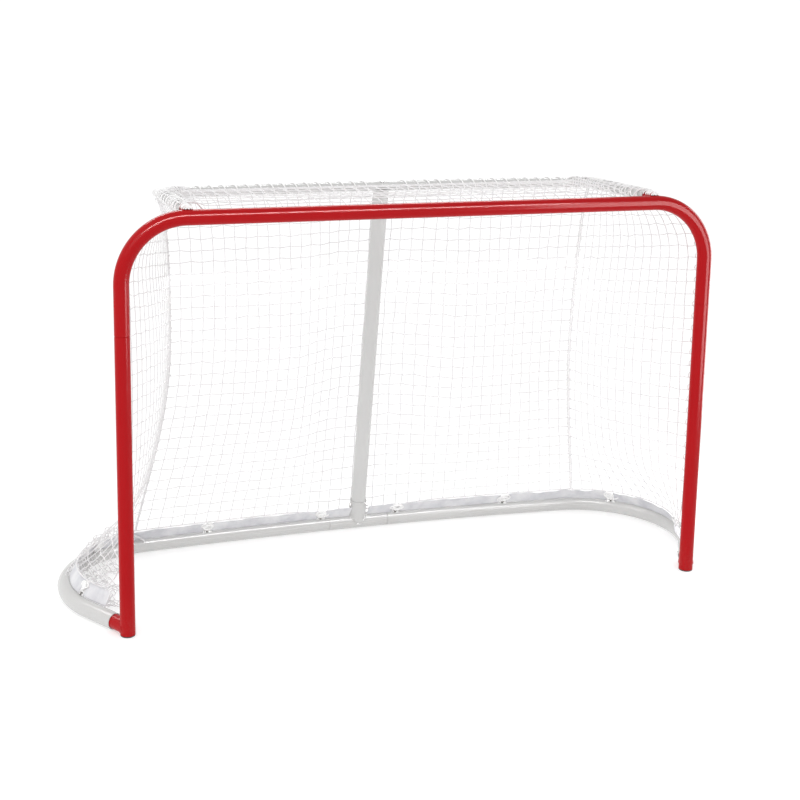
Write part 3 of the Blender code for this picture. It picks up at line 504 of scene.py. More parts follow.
def blend_colours(tree, share, first, second):
    """first (1 - share) + second share, each a socket or a colour."""
    node = tree.nodes.new("ShaderNodeMix")
    node.data_type = "RGBA"
    tree.links.new(share, node.inputs["Factor"])
    for label, value in (("A", first), ("B", second)):
        socket = next(s for s in node.inputs if s.name == label and s.type == "RGBA")
        if isinstance(value, tuple):
            socket.default_value = value
        else:
            tree.links.new(value, socket)
    return next(s for s in node.outputs if s.type == "RGBA")


def axes_of(tree, vector):
    """The X, Y and Z of a vector, as sockets."""
    split = tree.nodes.new("ShaderNodeSeparateXYZ")
    tree.links.new(vector, split.inputs[0])
    return split.outputs


COLOUR, VALUE = "NodeSocketColor", "NodeSocketFloat"
PLAIN = (1, 1, 1, 1)


def coat_group():
    """Powder coat: fine orange peel, thick and thin patches, floor dust low down and a few rubbed marks."""
    tree, inside, outside = new_group(
        "powder coat", {"Colour": (COLOUR, PLAIN), "Rubbed": (COLOUR, PLAIN), "Dust": (VALUE, 0.3),
                        "Gloss": (VALUE, 0.3)},
        {"Colour": COLOUR, "Roughness": VALUE, "Height": VALUE})
    place = tree.nodes.new("ShaderNodeTexCoord").outputs["Object"]
    peel = noise(tree, place, scale=420.0, detail=2.0, roughness=0.55)
    patches = noise(tree, place, scale=5.0, detail=3.0, roughness=0.6)
    flecks = noise(tree, place, scale=160.0, detail=4.0, roughness=0.7)
    low_down = math_node(tree, "SUBTRACT", 1.0, ramp(tree, axes_of(tree, place)["Z"], low=0.0, high=0.16))
    dusty = math_node(tree, "MULTIPLY", low_down, ramp(tree, flecks, low=0.35, high=0.75))
    dusty = math_node(tree, "MULTIPLY", dusty, inside.outputs["Dust"], clamp=True)
    stretch = tree.nodes.new("ShaderNodeVectorMath")
    stretch.operation = "MULTIPLY"
    tree.links.new(place, stretch.inputs[0])
    stretch.inputs[1].default_value = (30, 30, 140)
    scratches = noise(tree, stretch.outputs[0], scale=1.0, detail=5.0, roughness=0.75)
    marks = math_node(tree, "MULTIPLY", ramp(tree, scratches, low=0.74, high=0.80), inside.outputs["Dust"],
                      clamp=True)
    shaded = tree.nodes.new("ShaderNodeHueSaturation")
    tree.links.new(inside.outputs["Colour"], shaded.inputs["Color"])
    tree.links.new(math_node(tree, "MULTIPLY_ADD", patches, 0.10, 0.95), shaded.inputs["Value"])
    colour = blend_colours(tree, marks, shaded.outputs["Color"], inside.outputs["Rubbed"])
    colour = blend_colours(tree, dusty, colour, srgb(150, 144, 136))
    rough = math_node(tree, "MULTIPLY_ADD", patches, 0.08, inside.outputs["Gloss"])
    rough = math_node(tree, "MULTIPLY_ADD", dusty, 0.5, rough)
    rough = math_node(tree, "MULTIPLY_ADD", marks, 0.15, rough, clamp=True)
    height = math_node(tree, "MULTIPLY_ADD", marks, -0.6, peel)
    for label, value in (("Colour", colour), ("Roughness", rough), ("Height", height)):
        tree.links.new(value, outside.inputs[label])
    return tree


def twine_group():
    """Twisted cord: strands that wind along the UV's length, with painted shade in the grooves between them,
    fuzz and a little soil.
    """
    tree, inside, outside = new_group(
        "twisted cord", {"Colour": (COLOUR, PLAIN), "Groove shade": (COLOUR, PLAIN), "Strands": (VALUE, 3.0),
                         "Turns a metre": (VALUE, 90.0)},
        {"Colour": COLOUR, "Height": VALUE})
    texture = tree.nodes.new("ShaderNodeTexCoord")
    along = axes_of(tree, texture.outputs["UV"])
    winding = math_node(tree, "MULTIPLY", along["X"], inside.outputs["Turns a metre"])
    turn = math_node(tree, "MULTIPLY_ADD", along["Y"], inside.outputs["Strands"], winding)
    ridge = math_node(tree, "ABSOLUTE", math_node(tree, "SINE", math_node(tree, "MULTIPLY", turn, math.pi)))
    fuzz = noise(tree, texture.outputs["Object"], scale=1400.0, detail=2.0, roughness=0.6)
    clouds = noise(tree, texture.outputs["Object"], scale=9.0, detail=3.0, roughness=0.6)
    soil = math_node(tree, "MULTIPLY", ramp(tree, clouds, low=0.45, high=0.8), 0.12)
    # painted shade: the grooves between the strands take the darker groove shade colour
    open_share = ramp(tree, ridge, low=0.1, high=0.7)
    colour = blend_colours(tree, open_share, inside.outputs["Groove shade"], inside.outputs["Colour"])
    colour = blend_colours(tree, soil, colour, srgb(196, 190, 180))
    tree.links.new(colour, outside.inputs["Colour"])
    tree.links.new(math_node(tree, "MULTIPLY_ADD", fuzz, 0.35, ridge), outside.inputs["Height"])
    return tree


def weave_group():
    """Coated cloth: a plain weave under its coating, sin(u) sin(v) over the UV's metres, and soft scuffs."""
    tree, inside, outside = new_group(
        "coated cloth", {"Colour": (COLOUR, PLAIN), "Threads a metre": (VALUE, 900.0)},
        {"Colour": COLOUR, "Roughness": VALUE, "Height": VALUE})
    texture = tree.nodes.new("ShaderNodeTexCoord")
    metres = axes_of(tree, texture.outputs["UV"])
    waves = []
    for axis in ("X", "Y"):
        along = math_node(tree, "MULTIPLY", metres[axis], inside.outputs["Threads a metre"])
        waves.append(math_node(tree, "SINE", math_node(tree, "MULTIPLY", along, math.pi)))
    weave = math_node(tree, "MULTIPLY", *waves)
    clouds = noise(tree, texture.outputs["Object"], scale=14.0, detail=4.0, roughness=0.6)
    specks = noise(tree, texture.outputs["Object"], scale=70.0, detail=4.0, roughness=0.7)
    scuffs = math_node(tree, "MULTIPLY", ramp(tree, specks, low=0.6, high=0.8), 0.3)
    shade = ramp(tree, clouds, low=0.3, high=0.8)
    colour = blend_colours(tree, shade, inside.outputs["Colour"], srgb(188, 188, 194))
    colour = blend_colours(tree, scuffs, colour, srgb(168, 166, 164))
    rough = math_node(tree, "MULTIPLY_ADD", clouds, 0.25, 0.42)
    for label, value in (("Colour", colour), ("Roughness", rough), ("Height", weave)):
        tree.links.new(value, outside.inputs[label])
    return tree


def finish(name, tree, values, settings, bump):
    """A material whose Principled shader is fed by a placed group; bump is (strength, distance in metres)."""
    material = bpy.data.materials.new(name)
    material.use_nodes = True
    nodes, links = material.node_tree.nodes, material.node_tree.links
    shader = nodes["Principled BSDF"]
    for label, value in settings.items():
        shader.inputs[label].default_value = value
    placed = nodes.new("ShaderNodeGroup")
    placed.node_tree = tree
    for label, value in values.items():
        placed.inputs[label].default_value = value
    links.new(placed.outputs["Colour"], shader.inputs["Base Color"])
    if "Roughness" in placed.outputs:
        links.new(placed.outputs["Roughness"], shader.inputs["Roughness"])
    lift = nodes.new("ShaderNodeBump")
    lift.inputs["Strength"].default_value, lift.inputs["Distance"].default_value = bump
    links.new(placed.outputs["Height"], lift.inputs["Height"])
    links.new(lift.outputs["Normal"], shader.inputs["Normal"])
    return material


def coat(name, colour, rubbed, dust, gloss, settings, bump):
    """A powder coat or plate: the coat group in one colour."""
    values = {"Colour": srgb(*colour), "Rubbed": srgb(*rubbed), "Dust": dust, "Gloss": gloss}
    return finish(name, COAT, values, settings, bump)


def twisted(name, colour, groove_shade, strands, turns, roughness, bump):
    """A cord: the twine group in one colour, with painted shade in a darker colour for its grooves, its
    strands and its turns a metre.
    """
    values = {"Colour": srgb(*colour), "Groove shade": srgb(*groove_shade), "Strands": strands, "Turns a metre": turns}
    return finish(name, TWIST, values, {"Roughness": roughness, "Specular IOR Level": 0.2}, bump)


COAT, TWIST, WEAVE = coat_group(), twine_group(), weave_group()
FINISHES = {
    "red_powder_coat": coat("red_coat", (166, 10, 17), (104, 10, 14), 0.05, 0.14,
                            {"Specular IOR Level": 0.12}, (0.08, 0.0004)),
    "white_powder_coat": coat("white_coat", (196, 196, 195), (170, 170, 168), 0.1, 0.16,
                              {"Specular IOR Level": 0.3}, (0.08, 0.0004)),
    # a cord's second colour is painted shade for the grooves between its strands
    "white_net_twine": twisted("white_twine", (230, 229, 230), (208, 206, 207), 3.0, 140.0, 0.8,
                               (0.4, 0.0004)),
    "white_lacing_cord": twisted("white_cord", (245, 245, 245), (214, 213, 212), 4.0, 120.0, 0.75,
                                 (0.5, 0.0006)),
    "grey_coated_cloth": finish("grey_cloth", WEAVE,
                                {"Colour": srgb(218, 218, 220), "Threads a metre": 900.0}, {},
                                (0.3, 0.0003)),
    "zinc_plated_steel": coat("zinc_plate", (120, 118, 116), (70, 66, 62), 0.2, 0.28,
                              {"Metallic": 1.0}, (0.15, 0.0003)),
    "black_plastic": coat("black_plastic", (40, 33, 34), (80, 76, 74), 0.3, 0.42, {}, (0.2, 0.0003))}
PALE_ZINC = coat("pale_zinc_plate", (196, 195, 193), (150, 148, 146), 0.1, 0.3, {"Metallic": 0.6},
                 (0.15, 0.0003))


# Front frame

def front_frame():
    """The bent crossbar, the posts, and the plugs under them."""
    left = arc((-BEND_X, BEND_Z), BEND_RADIUS, math.pi, math.pi / 2, 40)
    right = arc((BEND_X, BEND_Z), BEND_RADIUS, math.pi / 2, 0, 40)
    flat = np.concatenate([[[-POST_X, SEAM_Z + GAP]], left, right, [[POST_X, SEAM_Z + GAP]]])
    route = np.stack([flat[:, 0], 0 * flat[:, 0], flat[:, 1]], axis=-1)
    piece("crossbar_tube", hollow_tube(route, FRAME_TUBE, FRAME_WALL, (0, 1, 0)), "red_powder_coat",
          ("crossbar",), crisp=True)
    foot = FRAME_TUBE / 2 - GAP
    shaft = FRAME_TUBE / 2 - FRAME_WALL - FIT_GAP
    edge = arc((foot - PLUG_EDGE, PLUG_EDGE), PLUG_EDGE, -math.pi / 2, 0, 8)
    profile = np.concatenate([[[0, 0]], edge, [[foot, PLUG_FLANGE - PLUG_BREAK], [shaft, PLUG_FLANGE],
                                               [shaft, PLUG_DEPTH], [0, PLUG_DEPTH]]])
    for side in (-1, 1):
        name, x = side_name(side), side * POST_X
        route = [(x, 0, height) for height in (POST_LOW.z, *POST_MARKS, SEAM_Z)]
        piece(name + "_post_tube", hollow_tube(route, FRAME_TUBE, FRAME_WALL, (0, 1, 0)), "red_powder_coat",
              (name + "_post",), crisp=True)
        piece(name + "_plug", turned(profile, (x, 0, 0), UP, 48), "black_plastic", (name + "_foot_plug",),
              crisp=True)


def weld_bead(ring, thick):
    """A weld: a thin cord of metal along the joint, its radius rippled by 1 + k sin a."""
    ripple = thick / 2 * (1 + WELD_RIPPLE * np.sin(np.arange(len(ring)) * 2 * np.pi / RIPPLE_POINTS))
    hint = unit(ring - ring.mean(axis=0))
    return [skin_of(rings(ring, ripple, hint, 8, True), run_of(ring), True)]


def stubs_and_welds():
    """Stubs behind the posts and the crossbar, each with its weld bead."""
    angle = np.linspace(0, 2 * np.pi, STUB_WELD_POINTS, endpoint=False)
    post = FRAME_TUBE / 2
    for side in (-1, 1):
        name = side_name(side)
        radius = RAIL_TUBE / 2 - RAIL_WALL - FIT_GAP
        axis = mirrored(np.array([-math.sin(RAIL_FLARE), math.cos(RAIL_FLARE), 0]), side)
        level = np.cross(axis, UP)
        start = np.array([side * POST_X, 0, RAIL_Z])
        low = lambda offset: half_chord(post + GAP, offset @ level)
        skins = coped_tube(start, axis, 2 * radius, FRAME_WALL, low, square_end(RAIL_START + STUB_COVER), UP)
        offset = radius * round_of(angle, level, UP)
        ring = start + offset + half_chord(post, offset @ level)[:, None] * axis
        ring[:, 2] = np.maximum(ring[:, 2], WELD_LOW)
        skins += weld_bead(ring, FOOT_WELD)
        piece(name + "_foot_stub_tube", skins, "red_powder_coat", (name + "_foot_stub",), crisp=True)
        radius = SHELF_TUBE / 2 - SHELF_WALL - FIT_GAP
        start = np.array([side * SHELF_X, 0, SHELF_Z])
        low = lambda offset: half_chord(post + GAP, SHELF_Z - BAR_Z + offset[:, 2])
        skins = coped_tube(start, np.array([0, 1.0, 0]), 2 * radius, radius - EDGE, low,
                           square_end(SHELF_START + SHELF_STUB_COVER), UP, STUB_ROUND)
        ring = start + radius * round_of(angle, SIDEWAYS, UP)
        ring[:, 1] = half_chord(post, ring[:, 2] - BAR_Z)
        skins += weld_bead(ring, SHELF_WELD)
        piece(name + "_shelf_stub_bar", skins, "red_powder_coat", (name + "_shelf_stub",), crisp=True)


# Base, leaning post and shelf

def base_frame():
    """The two rails and the centre tube, along the base's middle line."""
    seam = BASE_HALF - CENTRE_TUBE_LENGTH / 2
    rail = base_place(np.linspace(RAIL_START, seam - BASE_SEAM / 2, 150))
    for side in (-1, 1):
        skins = hollow_tube(mirrored(rail, side), RAIL_TUBE, RAIL_WALL, UP)
        piece(side_name(side) + "_rail_tube", skins, "white_powder_coat", (side_name(side) + "_base_rail",),
              crisp=True)
    route = base_place(np.linspace(seam + BASE_SEAM / 2, 2 * BASE_HALF - seam - BASE_SEAM / 2, 16))
    piece("centre_tube", hollow_tube(route, RAIL_TUBE, RAIL_WALL, UP), "white_powder_coat",
          ("base_centre_tube",), crisp=True)


def leaning_post():
    """The socket saddled on the base with its weld, and the post between it and the shelf."""
    rail, shelf_round = RAIL_TUBE / 2 + 2 * GAP, SHELF_TUBE / 2 + 2 * GAP
    back = np.cross(LEAN, SIDEWAYS)
    base_top = RAIL_TUBE / 2 / LEAN[2]
    low = lambda offset: half_chord(rail, offset @ back)
    wall = SOCKET_TUBE / 2 - POST_TUBE / 2 - FIT_GAP
    skins = coped_tube(FOOT, LEAN, SOCKET_TUBE, wall, low, square_end(base_top + SOCKET_HEIGHT), SIDEWAYS)
    angle = np.linspace(0, 2 * np.pi, SOCKET_WELD_POINTS, endpoint=False)
    offset = SOCKET_TUBE / 2 * round_of(angle, SIDEWAYS, back)
    ring = FOOT + offset + half_chord(rail + SOCKET_WELD_OUT, offset @ back)[:, None] * LEAN
    skins += weld_bead(ring, SOCKET_WELD)
    piece("post_socket_tube", skins, "white_powder_coat", ("post_socket",), crisp=True)
    length = np.linalg.norm(HEAD - FOOT)
    shoulder = length - SHELF_TUBE / 2 + POST_LAP
    high = lambda offset: np.minimum(length - half_chord(shelf_round, offset @ back), shoulder)
    skins = coped_tube(FOOT, LEAN, POST_TUBE, POST_WALL, square_end(base_top + POST_SEAT), high, SIDEWAYS)
    piece("leaning_post", skins, "white_powder_coat", ("centre_post",), crisp=True)


def shelf():
    """The bent shelf tube."""
    corner = arc((-SHELF_TURN_X, SHELF_TURN_Y), SHELF_CORNER, math.pi, math.pi / 2, 20)
    rear = np.linspace(-SHELF_TURN_X, 0, 16)[1:]
    half = np.concatenate([[[-SHELF_X, SHELF_START]], corner, np.stack([rear, shelf_y(rear)], axis=-1)])
    flat = np.concatenate([half, half[-2::-1] * [-1, 1]])
    route = np.stack([flat[:, 0], flat[:, 1], SHELF_Z + 0 * flat[:, 0]], axis=-1)
    piece("shelf_bar", hollow_tube(route, SHELF_TUBE, SHELF_WALL, UP, SHELF_ROUND), "white_powder_coat",
          ("shelf_tube",), crisp=True)


def rods():
    """The wires that the net is laced to, with welded feet on the red tubes."""
    touch = FRAME_TUBE / 2 + GAP
    last = math.acos((SHELF_X + SHELF_TUBE / 2 + ROD_END_CLEAR - BEND_X) / BEND_RADIUS)
    bend = arc((BEND_X, BEND_Z), BEND_RADIUS, 0, last, 40)
    bend = np.stack([bend[:, 0], ROD_Y + 0 * bend[:, 0], bend[:, 1]], axis=-1)
    foot = fillets([(POST_X, touch, ROD_FOOT), (POST_X, ROD_Y, ROD_FOOT), tuple(bend[0])], ROD_CORNER)[:-1]
    end_x, _, end_z = bend[-1]
    tip = fillets([tuple(bend[-2]), tuple(bend[-1]), (end_x - ROD_TIP, touch, end_z)], ROD_TIP)[1:]
    route = np.concatenate([foot, bend[:-1], tip])
    for side in (-1, 1):
        piece(side_name(side) + "_net_rod", cord(mirrored(route, -side), ROD / 2, (side, 0.6, 0.6), 14),
              "red_powder_coat", (side_name(side) + "_lacing_rod",))
    inner = SHELF_X - SHELF_TUBE / 2 - ROD_END_CLEAR
    corners = [(-inner, touch, BAR_Z), (-inner, ROD_Y, BAR_Z), (inner, ROD_Y, BAR_Z), (inner, touch, BAR_Z)]
    piece("crossbar_net_rod", cord(fillets(corners, ROD_CORNER), ROD / 2, UP, 14), "red_powder_coat",
          ("crossbar_lacing_rod",))


# Netting

def net_foot(along):
    """Where the net's lowest cord lies: along the top edge of the skirt."""
    inward = SKIRT_REACH * math.sin(SKIRT_SEAT) + SKIRT_WIDTH * math.sin(SKIRT_LEAN) - NET_FOOT_BEHIND
    height = RAIL_Z + SKIRT_REACH * math.cos(SKIRT_SEAT) + SKIRT_WIDTH * math.cos(SKIRT_LEAN)
    return base_place(along, inward, height)


def net_shelf(x):
    """The back net's top edge, behind the shelf's rear bar."""
    x = np.asarray(x, float)
    return np.stack([x, shelf_y(x) + SHELF_TUBE / 2 + NET_CORD / 2 + 2 * GAP, SHELF_Z + 0 * x], axis=-1)


def crease(side, v):
    """The net's rear corner: a line from base to shelf, drawn in by sin(pi v) and, higher up, by a tuck that
    ends in 1 - v^20."""
    v = np.asarray(v, float)[..., None]
    line = net_foot(CREASE_ALONG) * (1 - v) + net_shelf(-NET_EDGE) * v
    tuck = CREASE_TUCK * eased(v / CREASE_TUCK_FULL) * (1 - v ** 20)
    line = line + CREASE_PULL * (CREASE_SAG * np.sin(np.pi * v) * (1 + CREASE_LOW * (1 - 2 * v)) + tuck)
    return mirrored(line, side)


def behind_post(z):
    """The least y of a cord that passes behind the leaning post or its socket at a height."""
    radius = np.where(z < RAIL_TUBE + SOCKET_HEIGHT + NET_CORD, SOCKET_TUBE, POST_TUBE) / 2
    return FOOT[1] + (z - FOOT[2]) * LEAN[1] / LEAN[2] + (radius + NET_CORD / 2 + 3 * GAP) / LEAN[2]


def coons(left, right, bottom, top):
    """Four edges filled: (1-u) left + u right + (1-v) bottom + v top - the bilinear corners."""
    def surface(u, v):
        a, b = np.asarray(u)[..., None], np.asarray(v)[..., None]
        corners = ((1 - b) * ((1 - a) * bottom(0 * u) + a * bottom(0 * u + 1))
                   + b * ((1 - a) * top(0 * u) + a * top(0 * u + 1)))
        return (1 - a) * left(v) + a * right(v) + (1 - b) * bottom(u) + b * top(u) - corners
    return surface


def back_surface():
    """The back of the net, held by shelf, base and leaning post, with a hollow on each side of the post.
    Where the post pushes its foot back over the base, it drops behind the base by (1 - v)^8."""
    step = np.array([PANEL_GAP / 2, 0, 0])
    edge = 2 * BASE_HALF - 2 * CREASE_ALONG
    top_edge = (crease(-1, 1) + step)[..., 0]
    foot = lambda u: net_foot(CREASE_ALONG + edge * u) + step * (1 - 2 * u)[..., None]
    patch = coons(lambda v: crease(-1, v) + step, lambda v: crease(1, v) - step, foot,
                  lambda u: net_shelf(top_edge * (1 - 2 * u)))
    def surface(u, v):
        place = patch(u, v)
        hollow = BACK_SAG * np.sin(2 * np.pi * u) ** 2 * np.sin(np.pi * v)
        y = place[..., 1] - hollow
        near = eased((POST_PUSH - np.abs(place[..., 0])) / (POST_PUSH - POST_PUSH_FLAT))
        held = np.clip((1 - v) / POST_PUSH_TOP, 0, 1)
        push = held * near * np.maximum(0, behind_post(place[..., 2]) - y)
        place[..., 1] = y + push
        place[..., 2] -= NET_FOOT_DROP * push * (1 - v) ** 8
        return place
    return surface


def side_surface(side):
    """A side of the net, from the rod behind the post back to the rear corner. Its foot spreads out to the
    base's curve only low down, by exp(-(v / flare)^2) in place of 1 - v."""
    top_angle = math.acos((NET_EDGE - BEND_X) / BEND_RADIUS)
    foot = net_foot(NET_FRONT_FOOT)
    straight = BEND_Z - foot[2]
    length = straight + BEND_RADIUS * top_angle
    step = np.array([0, PANEL_GAP / 2, 0])
    def front(v):
        run = np.asarray(v, float) * length
        angle = np.clip(run - straight, 0, None) / BEND_RADIUS
        rise = np.minimum(run, straight)
        drawn = ((1 - rise / straight) ** NET_DRAW)[..., None]
        beside = np.stack([-BEND_X - BEND_RADIUS * np.cos(angle), NET_FRONT_Y + 0 * run,
                           foot[2] + rise + BEND_RADIUS * np.sin(angle)], axis=-1)
        return beside * (1 - drawn) + (foot + rise[..., None] * UP) * drawn
    rear = lambda v: crease(-1, v) - step
    def bottom(u):
        along = NET_FRONT_FOOT + (CREASE_ALONG - NET_FRONT_FOOT) * u
        return net_foot(along) - step * np.asarray(u)[..., None]
    def top(u):
        share = np.asarray(u)[..., None]
        return front(0 * u + 1) * (1 - share) + rear(0 * u + 1) * share
    patch = coons(front, rear, bottom, top)
    def surface(u, v):
        share, high = np.asarray(u)[..., None], np.asarray(v)[..., None]
        bulge = bottom(u) - bottom(0 * u) * (1 - share) - bottom(0 * u + 1) * share
        spread = np.exp(-(high / SIDE_FLARE_TOP) ** 2) * (1 - high)
        place = patch(u, v) - bulge * (1 - high - spread)
        place[..., 0] += SIDE_SAG * np.sin(np.pi * u) * np.sin(np.pi * v)
        return mirrored(place, side)
    return surface


def top_surface():
    """The top of the net: its front edge drops to the crossbar's rod and its rear edge to the shelf's bar,
    by (1 - v)^8 and v^12, and its rear corners hang over the shelf's bends."""
    lift = SHELF_Z + SHELF_TUBE / 2 + NET_CORD / 2 + 2 * GAP
    half = NET_EDGE - PANEL_GAP / 2
    rod_end = SHELF_X - SHELF_TUBE / 2 - ROD_END_CLEAR
    front_y = NET_FRONT_Y + NET_CORD
    def inside(x, limit):
        return eased((limit - np.abs(x)) / TOP_EASE)
    def surface(u, v):
        x = half * (2 * u - 1)
        tucked = inside(x, SHELF_TURN_X)
        past_turn = np.abs(x) - SHELF_TURN_X
        rear_y = (shelf_y(x) - TOP_REAR_SHORT - TOP_REAR_TUCK * tucked
                  + TOP_CORNER_OUT * eased(past_turn / TOP_CORNER_RUN))
        y = front_y * (1 - v) + rear_y * v
        front_drop = (lift - BAR_Z - TOP_FRONT_OVER) * (1 - v) ** 8 * inside(x, rod_end)
        rear_drop = (lift - SHELF_Z - TOP_REAR_OVER) * v ** 12 * tucked
        z = lift - TOP_SAG * np.sin(np.pi * u) * np.sin(np.pi * v) - front_drop - rear_drop
        beyond = np.hypot(np.maximum(past_turn, 0), np.maximum(y - SHELF_TURN_Y, 0))
        z -= (lift - SHELF_Z - TOP_CORNER_OVER) * eased((beyond - TOP_CORNER_REACH) / TOP_CORNER_FALL)
        return np.stack([x, y, z], axis=-1)
    return surface


def heaped_surface(u, v):
    """The left side's spare netting, standing in folds on the base's corner behind the skirt: upright waves
    that close up to nothing at the foot."""
    fold = 0.5 + 0.5 * np.sin(2 * np.pi * (HEAP_FOLDS * u + 0.7 * np.sin(5 * u)))
    inward = HEAP_IN * v * (1 + 0.4 * np.sin(7 * u)) + HEAP_FOLD_DEEP * fold * np.sqrt(v)
    ends = np.sin(np.pi * np.clip(u, 0, 1)) ** 0.7
    height = RAIL_TUBE + HEAP_HIGH * v * ends * (1 + 0.12 * np.sin(11 * u))
    return base_place(HEAP_START + (HEAP_END - HEAP_START) * u, inward, height)


def fallen_surface(u, v):
    """The rest of it, fallen inside the corner and lying on the floor in low crossing waves."""
    inward = FALLEN_IN + FALLEN_WIDE * v * (0.8 + 0.2 * np.sin(4 + 9 * u))
    waves = (FALLEN_WAVE * np.sin(2 * np.pi * (3.1 * v + 1.7 * u))
             + FALLEN_RIPPLE * np.sin(2 * np.pi * (2.2 * v - 6.3 * u)))
    height = FALLEN_LOW + FALLEN_SLOPE * (1 - v) ** 3 + waves
    return base_place(FALLEN_START + (FALLEN_END - FALLEN_START) * u, inward, height)


def knot_grid(columns, rows, wander, zigzag):
    """Where the knots are, in (u, v): an even grid, each inner knot moved a little and set up or down."""
    u, v = np.meshgrid(np.linspace(0, 1, columns + 1), np.linspace(0, 1, rows + 1), indexing="ij")
    inner = np.zeros(u.shape)
    inner[1:-1, 1:-1] = 1
    stagger = np.where(np.add.outer(np.arange(columns + 1), np.arange(rows + 1)) % 2, 1.0, -1.0)
    u = u + inner * RANDOM.normal(0, wander, u.shape) / columns
    v = v + inner * (RANDOM.normal(0, wander, u.shape) + zigzag * stagger) / rows
    return u, v


def between_knots(values, pieces):
    """Values at the knots of each cord (cords, knots), and at pieces - 1 even steps between them."""
    count = values.shape[1]
    marks = np.linspace(0, count - 1, (count - 1) * pieces + 1)
    low = np.minimum(marks.astype(int), count - 2)
    share = marks - low
    return values[:, low] * (1 - share) + values[:, low + 1] * share, share


def net_skins(surface, columns, rows, hints, wander=0.03, zigzag=0.045, slack=0.0006, pieces=3, sides=5):
    """Square netting on a surface: uprights and crossings between knots, each hanging a little slack. The
    hints are directions that no upright and no crossing runs along."""
    u, v = knot_grid(columns, rows, wander, zigzag)
    skins = []
    for first, second, hint in ((u, v, hints[0]), (u.T, v.T, hints[1])):
        along_u, share = between_knots(first, pieces)
        along_v, _ = between_knots(second, pieces)
        path = surface(along_u, along_v)
        cells = np.repeat(RANDOM.uniform(0.2, 1.8, (len(path), path.shape[1] // pieces + 1)), pieces, axis=1)
        path[..., 2] -= slack * 4 * share * (1 - share) * cells[:, :path.shape[1]]
        skins += cords(path[1:-1], TWINE / 2, hint, sides)
    knots = surface(u[1:-1, 1:-1], v[1:-1, 1:-1]).reshape(-1, 3)
    axes = np.linalg.qr(RANDOM.normal(size=(len(knots), 3, 3)))[0]
    axes *= np.sign(np.linalg.det(axes))[:, None, None]
    return skins + beads(knots, KNOT, KNOT_STRETCH, axes)


def edge_cords(surface, hints, diameter, count, sides):
    """The cords along a net's edges: left, right, bottom and top."""
    share = np.linspace(0, 1, count)
    zero, one = 0 * share, 0 * share + 1
    edges = ((zero, share, hints[0]), (one, share, hints[0]), (share, zero, hints[1]), (share, one, hints[1]))
    skins = []
    for u, v, hint in edges:
        skins += cord(surface(u, v), diameter / 2, hint, sides)
    return skins


def winding(middle, radii, pitch, hint, points, hand=1):
    """A cord wound round a line, and its spokes: p(s) + r1 cos a side + r2 sin a lift, a = 2 pi s / pitch,
    with hand -1 turning it the other way."""
    run = run_of(middle)
    count = int(run[-1] / pitch * points)
    marks = np.linspace(0, run[-1], count)
    line = np.stack([np.interp(marks, run, middle[:, axis]) for axis in range(3)], axis=-1)
    side, lift = across(line, hint)
    angle = (hand * 2 * np.pi * marks / pitch)[:, None]
    spokes = radii[0] * np.cos(angle) * side + radii[1] * np.sin(angle) * lift
    return line + spokes, spokes


def netting():
    """The four panels with their edge cords, and the spare netting at the left corner."""
    standing, lying = ((0.2, 1, 0.1), (0.1, 0.2, 1)), ((0.1, 0.1, 1), (0.1, 0.1, 1))
    panels = {"back": (back_surface(), BACK_COLUMNS, NET_ROWS, standing, "back_net"),
              "left_side": (side_surface(-1), SIDE_COLUMNS, NET_ROWS, standing, "left_net"),
              "right_side": (side_surface(1), SIDE_COLUMNS, NET_ROWS, standing, "right_net"),
              "top": (top_surface(), BACK_COLUMNS, TOP_ROWS, lying, "top_net")}
    for name, (surface, columns, rows, hints, node) in panels.items():
        skins = net_skins(surface, columns, rows, hints) + edge_cords(surface, hints, BORDER, 120, 8)
        piece(name + "_netting", skins, "white_net_twine", (node,))
    spare = []
    for surface, columns, rows, hints in ((heaped_surface, HEAP_COLUMNS, HEAP_ROWS, standing),
                                          (fallen_surface, FALLEN_COLUMNS, FALLEN_ROWS, lying)):
        spare += net_skins(surface, columns, rows, hints, SPARE_WANDER, SPARE_ZIGZAG)
        spare += edge_cords(surface, hints, TWINE, 240, 5)
    piece("left_spare_netting", spare, "white_net_twine")


# Lacing

def thin_lacing(middle, cord_width, points):
    """Thin cord wound evenly round a standing line."""
    path, spokes = winding(middle, (THIN_LACE_REACH, THIN_LACE_REACH), LACE_PITCH, (0, 1, 0), points)
    return cord(path, cord_width / 2, spokes, 6)


def bar_lacing(side, level, upright):
    """Cord wound round half of the shelf's rear bar."""
    x = np.sort(np.linspace(BAR_LACE_START, BAR_LACE_END, 200) * side)
    middle = np.stack([x, shelf_y(x), SHELF_Z + 0 * x], axis=-1)
    path, spokes = winding(middle, (level, upright), LACE_PITCH, UP, 24, -1)
    return cord(path, LACE_CORD / 2, spokes)


def arm_lacing(side, level, upright):
    """Cord wound round a shelf arm one way, and back the other way at a closer pitch."""
    y = np.linspace(ARM_LACE_START, ARM_LACE_END, 60)
    middle = np.stack([side * SHELF_X + 0 * y, y, SHELF_Z + 0 * y], axis=-1)
    skins = []
    for hand, pitch in ((1, ARM_LACE_PITCH), (-1, ARM_LACE_BACK * ARM_LACE_PITCH)):
        path, spokes = winding(middle, (level, upright + ARM_LACE_RISE * hand), pitch, UP, 24, hand)
        skins += cord(path, LACE_CORD / 2, spokes)
    return skins


